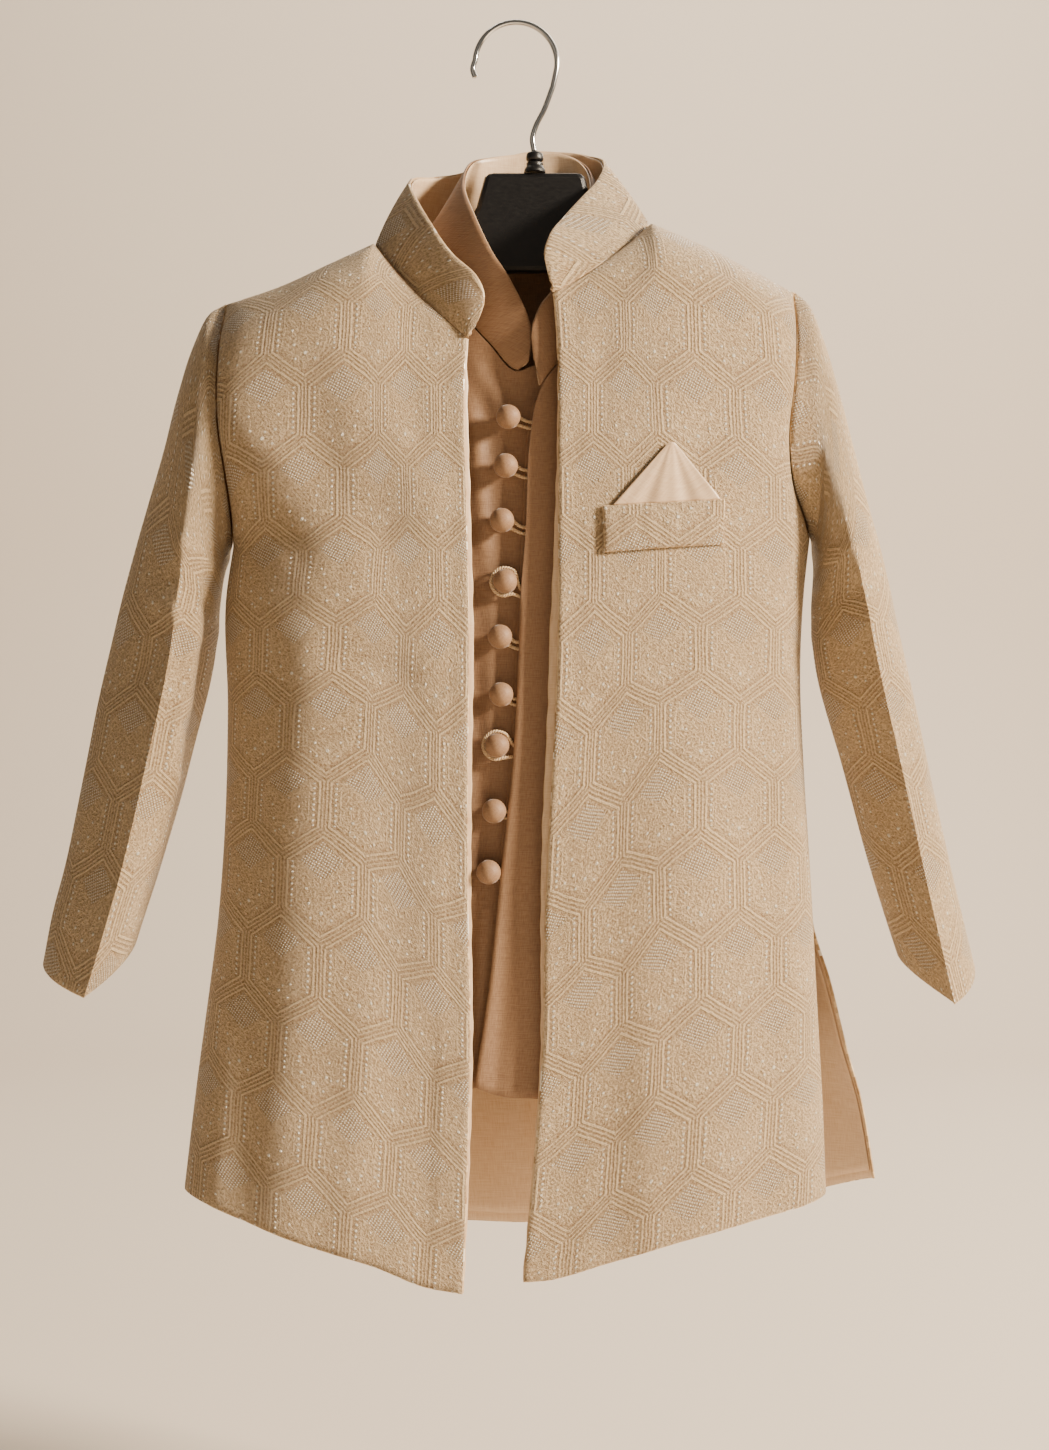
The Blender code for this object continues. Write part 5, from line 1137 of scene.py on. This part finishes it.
# Top edges, from the right tip round the neck to the left tip. Columns: share of the seam, x, y, z
COLLAR_TOP = [(0.0, -19.5, -43.0, -162.0), (0.028, -15.6, -45.5, -150.0), (0.061, -19.2, -45.0, -138.3),
              (0.1, -31.0, -38.5, -126.0), (0.163, -44.0, -25.0, -105.0), (0.243, -54.5, -3.0, -80.5),
              (0.322, -44.4, 14.0, -73.8), (0.408, -30.0, 23.0, -69.5), (0.514, 2.5, 32.0, -56.5),
              (0.606, 24.0, 32.0, -56.2), (0.693, 39.0, 24.0, -60.0), (0.766, 45.8, 6.0, -68.5),
              (0.819, 41.0, -7.0, -81.5), (0.868, 33.0, -18.0, -92.5), (0.918, 24.0, -29.0, -105.0),
              (0.959, 16.4, -40.0, -118.0), (0.982, 14.3, -44.5, -128.5), (1.0, 16.5, -45.5, -140.5)]
INNER_COLLAR_TOP = [(0.0, 6.3, -36.4, -177.5), (0.026, 7.6, -37.5, -165.0), (0.057, 4.5, -38.0, -153.0),
                    (0.09, -2.5, -36.0, -138.5), (0.156, -12.7, -30.0, -121.3), (0.224, -22.0, -19.0, -99.5),
                    (0.287, -27.0, -6.0, -83.0), (0.346, -25.0, 8.0, -69.0), (0.424, -14.0, 18.5, -62.5),
                    (0.495, 4.0, 25.0, -59.0), (0.569, 24.0, 23.5, -59.5), (0.635, 36.5, 15.0, -67.5),
                    (0.685, 38.95, -0.5, -78.8), (0.769, 34.95, -15.5, -97.8), (0.858, 28.0, -28.0, -122.0),
                    (0.923, 18.0, -37.0, -143.0), (0.964, 10.6, -41.0, -154.5), (0.988, 7.6, -41.6, -166.0),
                    (1.0, 8.6, -41.4, -177.0)]


def neck_seam(right, behind, left, kind):
    """The neck's seam from the right front round the back to the left front."""
    neck_steps, shoulder_steps = STEPS[kind][:2]
    skip = int(OVERLAP_SHARE[kind] * neck_steps)
    return np.vstack((right[0, skip:neck_steps + 1],
                      behind[0, shoulder_steps + 1:shoulder_steps + neck_steps],
                      left[0, neck_steps::-1]))


def collar_face(kind, seam, top_rows):
    """Outer face of a stand collar, from the neck seam to its top edge."""
    where = run_along(seam) / run_along(seam)[-1]
    top = through([row[1:] for row in top_rows], where, [row[0] for row in top_rows])
    rise = top - seam
    foot = seam + COLLAR_GAP[kind] * rise / np.linalg.norm(rise, axis=1)[:, None]
    away = seam - seam.mean(axis=0)
    away[:, 2] = 0
    away /= np.linalg.norm(away, axis=1)[:, None]
    return np.array([foot + (top - foot) * v + away * COLLAR_BULGE[kind] * 4 * v * (1 - v)
                     for v in evenly(COLLAR_ROWS)])


def collar(kind, name, node, slot, material, lining_name, lining_node, thick, seam, top_rows):
    """A stand collar with its satin inside, both on the same seam."""
    face = collar_face(kind, seam, top_rows)
    away = normals(face, face - face.mean(axis=1)[:, None, :])
    cut = flat_cut(face[::-1], face.shape[1] // 2, COLLAR_ASIDE, 0)[::-1]
    cloth_wall(name, node, slot, face, away, thick, cut, (material,))
    side = evenly(face.shape[1] - 1)[None, :]
    up = evenly(COLLAR_ROWS)[:, None]
    behind = np.exp(-((side - 0.5) / PUCKER_HALF) ** 2)
    waves = np.sin(side * PUCKER_TURNS + 3.0 * np.sin(side * 31.0))
    pucker = behind * PUCKER * waves * np.sin(math.pi * up) ** 0.7
    loose = face - away * (pucker + LINING_LOOSE)[:, :, None]
    cloth_wall(lining_name, lining_node, "satin", loose, away, SATIN, cut, (satin_cloth,),
               sunk=thick + SEAM_GAP)


collar("jacket", "stand_collar", "jacket_collar", "brocade", brocade_cloth, "collar_satin",
       "jacket_collar_lining", COLLAR_WALL, neck_seam(front_r, back, front_l, "jacket"), COLLAR_TOP)
collar("inner", "plain_collar", "inner_collar", "silk", slub_cloth, "plain_collar_satin",
       "inner_collar_lining", SILK, neck_seam(under, inner_back, flap, "inner"), INNER_COLLAR_TOP)
print("collar cut:", CUT_SIZES["stand_collar"])

# %% [markdown]
# ## Breast pocket
# A welt is a folded strip sewn over the pocket's mouth. It is thicker than the panel, so its edges
# swell and throw a thin shadow. The square is a triangle of satin that is sewn into it, with folds
# that fan out from the mouth. Both are laid on the front by rays, so they follow its curve.

# %% Welt and square
WELT_WALL = 1.6
WELT_GRID = (60, 18)
SQUARE_GRID = (44, 40)
SQUARE_TIP = 0.06
WELT_SWELL = 0.9
SQUARE_FAN = 0.5
RAY_START = -200.0
# Corners. Columns: x, z
WELT_CORNERS = [(42.5, -249.8), (101.4, -246.2), (101.1, -267.3), (43.1, -271.6)]
SQUARE_CORNERS = [(47.6, -248.9), (99.5, -245.7), (75.7, -217.1)]


def surface(grid):
    """A face that rays can be cast at."""
    rows, cols = grid.shape[:2]
    faces = [(r * cols + c, r * cols + c + 1, (r + 1) * cols + c + 1, (r + 1) * cols + c)
             for r in range(rows - 1) for c in range(cols - 1)]
    return BVHTree.FromPolygons([Vector(p) for p in grid.reshape(-1, 3)], faces)


def depth_at(target, x, z):
    """Where a ray from the front meets the face, as its y."""
    return target.ray_cast(Vector((x, RAY_START, z)), Vector((0.0, 1.0, 0.0)))[0].y


def seated_patch(target, corners, steps, lift):
    """A grid between four corners that lies on a face, lifted off it by a height or a function."""
    across, down = steps
    a, b, c, d = [np.array(corner) for corner in corners]
    grid = np.zeros((down + 1, across + 1, 3))
    for r in range(down + 1):
        for k in range(across + 1):
            s = k / across
            t = r / down
            x, z = (1 - t) * ((1 - s) * a + s * b) + t * ((1 - s) * d + s * c)
            grid[r, k] = (x, depth_at(target, x, z) - lift(s, t), z)
    return grid


def welt_height(s, t):
    """Height of the welt above the front: swollen in the middle, thin at its edges."""
    swell = (1 - (2 * s - 1) ** 10) * (1 - (2 * t - 1) ** 4)
    return SEAM_GAP + WELT_WALL + WELT_SWELL * swell + 0.15 * math.sin(s * 37) * math.sin(math.pi * t)


def square_height(s, t):
    """Height of the square above the front: folds that fan out from the pocket's mouth."""
    fan = math.sin(s * 15.0 + 0.6) + 0.5 * math.sin(s * 31.0 + 2.0)
    return SEAM_GAP + SATIN + SQUARE_FAN * (1 + t * fan + math.sin(math.pi * s) * (1 - t))


target = surface(front_l)
welt = seated_patch(target, WELT_CORNERS, WELT_GRID, welt_height)
cloth_wall("breast_welt", "pocket_welt", "brocade", welt, normals(welt, FORWARD), WELT_WALL,
           flat_cut(welt, 0, welt[0, 0, 0] + 4.0, 0), (brocade_cloth,))
left, right, tip = [np.array(corner) for corner in SQUARE_CORNERS]
triangle = (tip + (left - tip) * SQUARE_TIP, tip + (right - tip) * SQUARE_TIP, right, left)
square = seated_patch(target, triangle, SQUARE_GRID, square_height)
cloth_wall("pocket_handkerchief", "pocket_square", "satin", square, normals(square, FORWARD), SATIN,
           flat_cut(square, 0, 0.0, 0), (satin_cloth,))
print("square:", CUT_SIZES["pocket_handkerchief"])

# %% [markdown]
# ## Ball buttons and cord loops
# A ball button is a wooden ball in a gathered scrap of cloth. The gathers meet at the shank, so the
# ball shows fine pleats only near the cloth. A loop is a two-ply cord. Two thin strands that wind
# round each other catch the light the way a real cord does, where a plain tube would look like
# wire. The loops are caught between the flap and a narrow strip.

# %% Strands, buttons and loops
BALL_RADIUS = 6.0
BALL_REACH = 7.5
SHANK_RADIUS = 1.6
BALL_SIDES = 36
BALL_RINGS = 20
GATHERS = 12
GATHER_DEPTH = 0.05
GATHER_RINGS = 12
BALL_SEAT = (-2.6, 0, 2.6)
CORD_RADIUS = 0.75
PLY_RADIUS = 0.52
PLY_APART = 0.42
PLY_TURN = 2.6
PLY_STEP = 0.3
PLY_SIDES = 8
# Columns: x, z, radius of the loop, height of the upper and lower strand
BUTTONS = [(-3.7, -205.6, 3.2, -1.6, -5.0), (-4.9, -229.4, 3.4, -1.5, -5.6), (-6.7, -256.0, 3.4, -3.0, -6.4),
           (-5.2, -285.7, 6.9, -4.4, -7.6), (-7.6, -312.7, 3.4, -2.4, -6.0), (-7.1, -340.8, 3.4, -2.0, -5.2),
           (-9.1, -365.6, 6.9, -0.6, -5.4), (-10.6, -397.5, 3.4, -0.4, -3.8), (-13.2, -427.2, 3.4, 0.6, -3.4)]
STRIP_REACH = (-1.5, 2.0, 5.5)
STRIP_ENDS = (-196.0, -421.0)
STRIP_GRID = (120, 9)
LOOP_ROOT = 2.2
LOOP_LIFT = 0.45
LOOP_POINTS = 80


def directions(line):
    """Unit directions along a line and at right angles to it, at each of its points."""
    ahead = np.gradient(line, axis=0)
    ahead /= np.linalg.norm(ahead, axis=1)[:, None]
    up = np.cross(ahead, np.array((0.0, 1.0, 0.001)))
    up /= np.linalg.norm(up, axis=1)[:, None]
    return ahead, up, np.cross(up, ahead)


def close_end(faces, flat, ring, tip, step=1):
    """A fan of triangles from an end's ring to its tip."""
    for k in range(len(ring)):
        faces.append((ring[k], tip, ring[(k + step) % len(ring)]))
        flat.append(np.zeros((3, 2)))


def strand(points, radius, sides, start=0):
    """Points and faces of a round strand with closed ends along a line."""
    line = np.asarray(points, float)
    ahead, up, out = directions(line)
    turn = 2 * math.pi * np.arange(sides) / sides
    rings = (line[:, None, :] + radius * (np.cos(turn)[None, :, None] * up[:, None, :]
                                          + np.sin(turn)[None, :, None] * out[:, None, :]))
    verts = np.vstack((rings.reshape(-1, 3), line[:1] - ahead[:1] * radius * 0.5,
                       line[-1:] + ahead[-1:] * radius * 0.5))
    index = np.arange(len(line) * sides).reshape(len(line), sides) + start
    around = np.linspace(0, 2 * math.pi * radius, sides + 1) * MM
    cut = np.stack(np.meshgrid(around, run_along(line) * MM), axis=2)
    faces, flat = quads(index, cut, True, False)
    faces, flat = list(faces), list(flat)
    close_end(faces, flat, index[0], len(verts) - 2 + start)
    close_end(faces, flat, index[-1], len(verts) - 1 + start, -1)
    return verts, faces, flat


print("ball button:", 2 * BALL_RADIUS, "mm, cord:", 2 * CORD_RADIUS, "mm")

# %% [markdown]
# A real cord is twisted from two plies, and its turns catch the light one after the other. The
# strand above is wound twice round the cord's own line, half a turn apart.

# %% Twisted cord


def twisted(points, name, material):
    """A two-ply cord along a line: two strands that wind round each other."""
    line = np.asarray(points, float)
    run = run_along(line)
    stops = np.arange(0, run[-1], PLY_STEP)
    line = np.stack([np.interp(stops, run, line[:, k]) for k in range(3)], axis=1)
    _, up, out = directions(line)
    angle = 2 * math.pi * np.arange(len(line)) * PLY_STEP / PLY_TURN
    verts, faces, flat = [], [], []
    for phase in (0, math.pi):
        shift = np.cos(angle + phase)[:, None] * up + np.sin(angle + phase)[:, None] * out
        start = sum(len(v) for v in verts)
        ply, ply_faces, ply_flat = strand(line + PLY_APART * shift, PLY_RADIUS, PLY_SIDES, start)
        verts.append(ply)
        faces += ply_faces
        flat += ply_flat
    return make_mesh(name, np.vstack(verts), faces, flat, (material,))


print("a ply turns once in", PLY_TURN, "mm")

# %% Ball button
def ball_button(number, x, y_cloth, z):
    """A cloth ball on a short shank, with gathers that fade towards its crown."""
    rims = [(SHANK_RADIUS, SEAM_GAP), (SHANK_RADIUS, BALL_REACH - BALL_RADIUS * 0.95)]
    rims += [(BALL_RADIUS * math.sin(a), BALL_REACH - BALL_RADIUS * math.cos(a))
             for a in np.radians(np.linspace(20, 178, BALL_RINGS))]
    turn = 2 * math.pi * np.arange(BALL_SIDES) / BALL_SIDES
    grid = []
    for k, (radius, out) in enumerate(rims):
        pleat = 1 - GATHER_DEPTH * max(0.0, 1 - k / GATHER_RINGS) * (0.5 + 0.5 * np.cos(turn * GATHERS))
        sag = 1 + 0.015 * np.sin(turn * 3 + number)
        grid.append(np.stack((x + radius * pleat * sag * np.cos(turn), np.full(BALL_SIDES, y_cloth - out),
                              z + radius * pleat * np.sin(turn)), axis=1))
    grid = np.array(grid)
    count = grid.shape[0] * BALL_SIDES
    index = np.arange(count).reshape(grid.shape[:2])
    high = np.array([out for _, out in rims]) * MM * 1.6
    cut = np.stack(np.meshgrid(np.linspace(0, 0.03, BALL_SIDES + 1), high), axis=2)
    faces, flat = quads(index, cut, True, False)
    tips = [(x, y_cloth - SEAM_GAP, z), (x, y_cloth - BALL_REACH - BALL_RADIUS, z)]
    verts = np.vstack((grid.reshape(-1, 3), tips))
    faces, flat = list(faces), list(flat)
    close_end(faces, flat, index[0], count)
    close_end(faces, flat, index[-1], count + 1)
    thing = make_mesh("ball_%d" % number, verts, faces, flat, (slub_cloth,))
    return place(thing, "button_%d" % number, "silk")


print("rings on a ball:", BALL_RINGS)

# %% [markdown]
# A loop comes out from under the flap, goes round the button's far side and comes back. Two of the
# nine lie round the whole ball, which their larger radius in the table does.

# %% Way of a loop
def loop_route(x, z, y_cloth, x_edge, y_strip, radius, upper, lower):
    """Route of a loop: out from under the flap's edge, round the button and back."""
    y_near = y_cloth - CORD_RADIUS - SEAM_GAP - LOOP_LIFT - max(0.0, radius - 4.0) * 0.8
    y_far = y_strip - CORD_RADIUS - SEAM_GAP
    starts = [(x_edge + LOOP_ROOT, y_far, z + height) for height in (upper, lower)]
    x_lip = x_edge + STRIP_REACH[0] - 0.6
    lips = [(x_lip, y_far, z + height * 0.9) for height in (upper, lower)]
    turn = [(x + radius * math.cos(a), y_near, z + radius * math.sin(a))
            for a in np.radians(60 + 240 * evenly(6))]
    if x_lip < x + radius + 1.0:
        lips = [(start[0] - 1.0, y_far, start[2]) for start in starts]
    return through([starts[0], lips[0]] + turn + [lips[1], starts[1]], evenly(LOOP_POINTS))


print("a loop's line has", LOOP_POINTS + 1, "points")

# %% [markdown]
# The strip is laid first, under the flap's edge. Each ball then sits on the highest cloth below it,
# and its loop starts from the strip. Rays find the cloth's height, so nothing sinks into a fold.

# %% Fasten the plain layer
target = surface(under)
edge_z = -flap[:, 0, 2]
edge_x = flap[:, 0, 0]
strip = np.zeros((*STRIP_GRID, 3))
for r, z in enumerate(np.linspace(*STRIP_ENDS, STRIP_GRID[0])):
    for c, reach in enumerate(np.linspace(STRIP_REACH[0], STRIP_REACH[-1], STRIP_GRID[1])):
        x = np.interp(-z, edge_z, edge_x) + reach
        strip[r, c] = (x, depth_at(target, x, z) - SEAM_GAP - SATIN, z)
cloth_wall("loop_tape", "loop_strip", "silk", strip, normals(strip, FORWARD), SATIN,
           flat_cut(strip, 0, 0.0, 0), plain)
for number, (x, z, radius, upper, lower) in enumerate(BUTTONS, 1):
    y_cloth = min(depth_at(target, x + dx, z + dz) for dx in BALL_SEAT for dz in BALL_SEAT)
    ball_button(number, x, y_cloth, z)
    x_edge = np.interp(-z, edge_z, edge_x)
    y_strip = min(depth_at(target, x_edge + reach, z) for reach in STRIP_REACH) - SEAM_GAP - SATIN
    cord = twisted(loop_route(x, z, y_cloth, x_edge, y_strip, radius, upper, lower),
                   "cord_loop_%d" % number, cord_yarn)
    place(cord, "loop_%d" % number, "cord")
print("buttons:", len(BUTTONS))

# %% [markdown]
# ## Hanger and hook
# The plate is one moulding, and its solid is right as it is, so it only gets its material. The hook
# and its socket are round, and a close look would show the solid's facets. They are drawn again
# with more sides along the same line. The wire's tip is rounded, as a dipped tip is.

# %% Hanger
HANGER_CENTRE = 9.5
WIRE_RADIUS = 1.4
HOOK_RADIUS = 20.8
NECK_PROFILE = [(0.0, -75.2), (5.6, -75.2), (5.3, -73.8), (4.2, -71.6), (4.2, -70.3), (2.6, -69.8),
                (4.1, -69.0), (4.3, -66.6), (3.9, -65.4), (2.4, -64.6), (0.0, -64.5)]
HOOK_STEM = [(9.1, -64.0), (8.3, -57.9), (10.0, -51.5), (14.0, -43.6), (18.6, -31.5)]
HOOK_ARC = (-8.0, 176.0)
HOOK_SIDES = 20
SOCKET_SIDES = 40
HOOK_TIP = [(-21.4, -19.6), (-22.0, -22.4), (-20.8, -26.6)]

hook = through(HOOK_STEM, evenly(24))
route = [(x, 0.0, z) for x, z in hook]
route += [(HOOK_RADIUS * math.cos(a), 0.0, WIRE_RADIUS - HOOK_RADIUS + HOOK_RADIUS * math.sin(a))
          for a in np.radians(np.linspace(*HOOK_ARC, 60))]
route += [(x, 0.0, z) for x, z in through(HOOK_TIP, evenly(8))]
verts, faces, flat = strand(route, WIRE_RADIUS, HOOK_SIDES)
place(make_mesh("wire_hook", verts, faces, flat, (plated,)), "hanger_hook", "steel")

profile = through(NECK_PROFILE[1:-1], evenly(40))
turn = 2 * math.pi * np.arange(SOCKET_SIDES) / SOCKET_SIDES
ring = np.array([[(HANGER_CENTRE + r * math.cos(a), r * math.sin(a), z) for a in turn]
                 for r, z in profile])
index = np.arange(ring.shape[0] * SOCKET_SIDES).reshape(ring.shape[:2])
faces, flat = quads(index, np.zeros((ring.shape[0], SOCKET_SIDES + 1, 2)), True, False)
faces = list(faces) + [tuple(index[0]), tuple(index[-1])]
flat = list(flat) + [np.zeros((SOCKET_SIDES, 2))] * 2
place(make_mesh("hook_socket", ring.reshape(-1, 3), faces, flat, (moulded,)), "hanger_neck", "plastic")

plate = frame["nodes"]["hanger_body"]
plate.data.materials.clear()
plate.data.materials.append(moulded)
print("hook:", len(route), "points")

# %% [markdown]
# ## Room and light
# A pale floor curves up into a pale wall, as in a product photographer's cove, so no horizon line
# cuts the picture. The arc between them is a quarter circle, and the wall stands far enough back
# that the coat throws no hard shadow on it.

# %% Floor and wall
plaster, tree, shader = finish("painted plaster, pale")
speck = add(tree, "ShaderNodeTexNoise", {"Scale": 220.0, "Detail": 3.0})
bump = add(tree, "ShaderNodeBump", {"Strength": 0.1, "Distance": 0.001, "Height": speck})
shader.inputs["Base Color"].default_value = colour("#DFD2C1")
shader.inputs["Roughness"].default_value = 0.9
tree.links.new(bump.outputs[0], shader.inputs["Normal"])
FLOOR = -0.80
WALL = 2.4
COVE = 0.8
bend = [(WALL - COVE + COVE * math.sin(a), FLOOR + COVE - COVE * math.cos(a))
        for a in np.linspace(0, math.pi / 2, 24)]
line = [(-3.0, FLOOR)] + bend + [(WALL, 3.5)]
verts = [(x, y, z) for x in (-4.5, 4.5) for y, z in line]
n = len(line)
mesh = bpy.data.meshes.new("cove")
mesh.from_pydata(verts, [], [(k, k + 1, n + k + 1, n + k) for k in range(n - 1)])
mesh.shade_smooth()
mesh.materials.append(plaster)
cove = bpy.data.objects.new("cove", mesh)
bpy.context.collection.objects.link(cove)
print("floor at", FLOOR)

# %% [markdown]
# The main light is a soft window to the right and in front. It rakes across the brocade, and so
# brings out the raised threads. A weak light from the left keeps the dark sleeve from going black,
# one light washes the wall, and one shows the back to whoever walks round the coat.

# %% Lights
COAT = (0.0, 0.0, -0.35)


def softbox(name, place, aim, size, power, tint):
    """A rectangular soft light that looks at a point."""
    light = bpy.data.lights.new(name, "AREA")
    light.shape = "RECTANGLE"
    light.size, light.size_y = size
    light.energy = power
    light.color = colour(tint)[:3]
    thing = bpy.data.objects.new(name, light)
    thing.location = place
    thing.rotation_euler = (Vector(aim) - Vector(place)).to_track_quat("-Z", "Y").to_euler()
    bpy.context.collection.objects.link(thing)


softbox("window", (2.05, -0.85, 0.62), COAT, (0.36, 0.5), 190.0, "#FFEED6")
softbox("fill", (-0.9, -1.9, 0.3), COAT, (1.4, 1.2), 1.6, "#FFEBD2")
softbox("wall wash", (0.3, 0.9, 1.7), (0.0, WALL, -0.2), (2.4, 0.8), 50.0, "#FFF6EA")
softbox("back light", (0.8, 1.5, 0.9), COAT, (0.8, 0.8), 16.0, "#FFF4E6")
sky = bpy.data.worlds.new("room")
sky.use_nodes = True
sky.node_tree.nodes["Background"].inputs["Color"].default_value = colour("#EBE0D0")
sky.node_tree.nodes["Background"].inputs["Strength"].default_value = 0.17
bpy.context.scene.world = sky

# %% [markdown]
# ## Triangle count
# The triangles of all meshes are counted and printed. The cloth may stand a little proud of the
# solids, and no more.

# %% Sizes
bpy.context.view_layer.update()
print("triangles added:", sum(len(o.data.loop_triangles) for o in bpy.data.objects
      if o.type == "MESH" and o.data.calc_loop_triangles() is None))
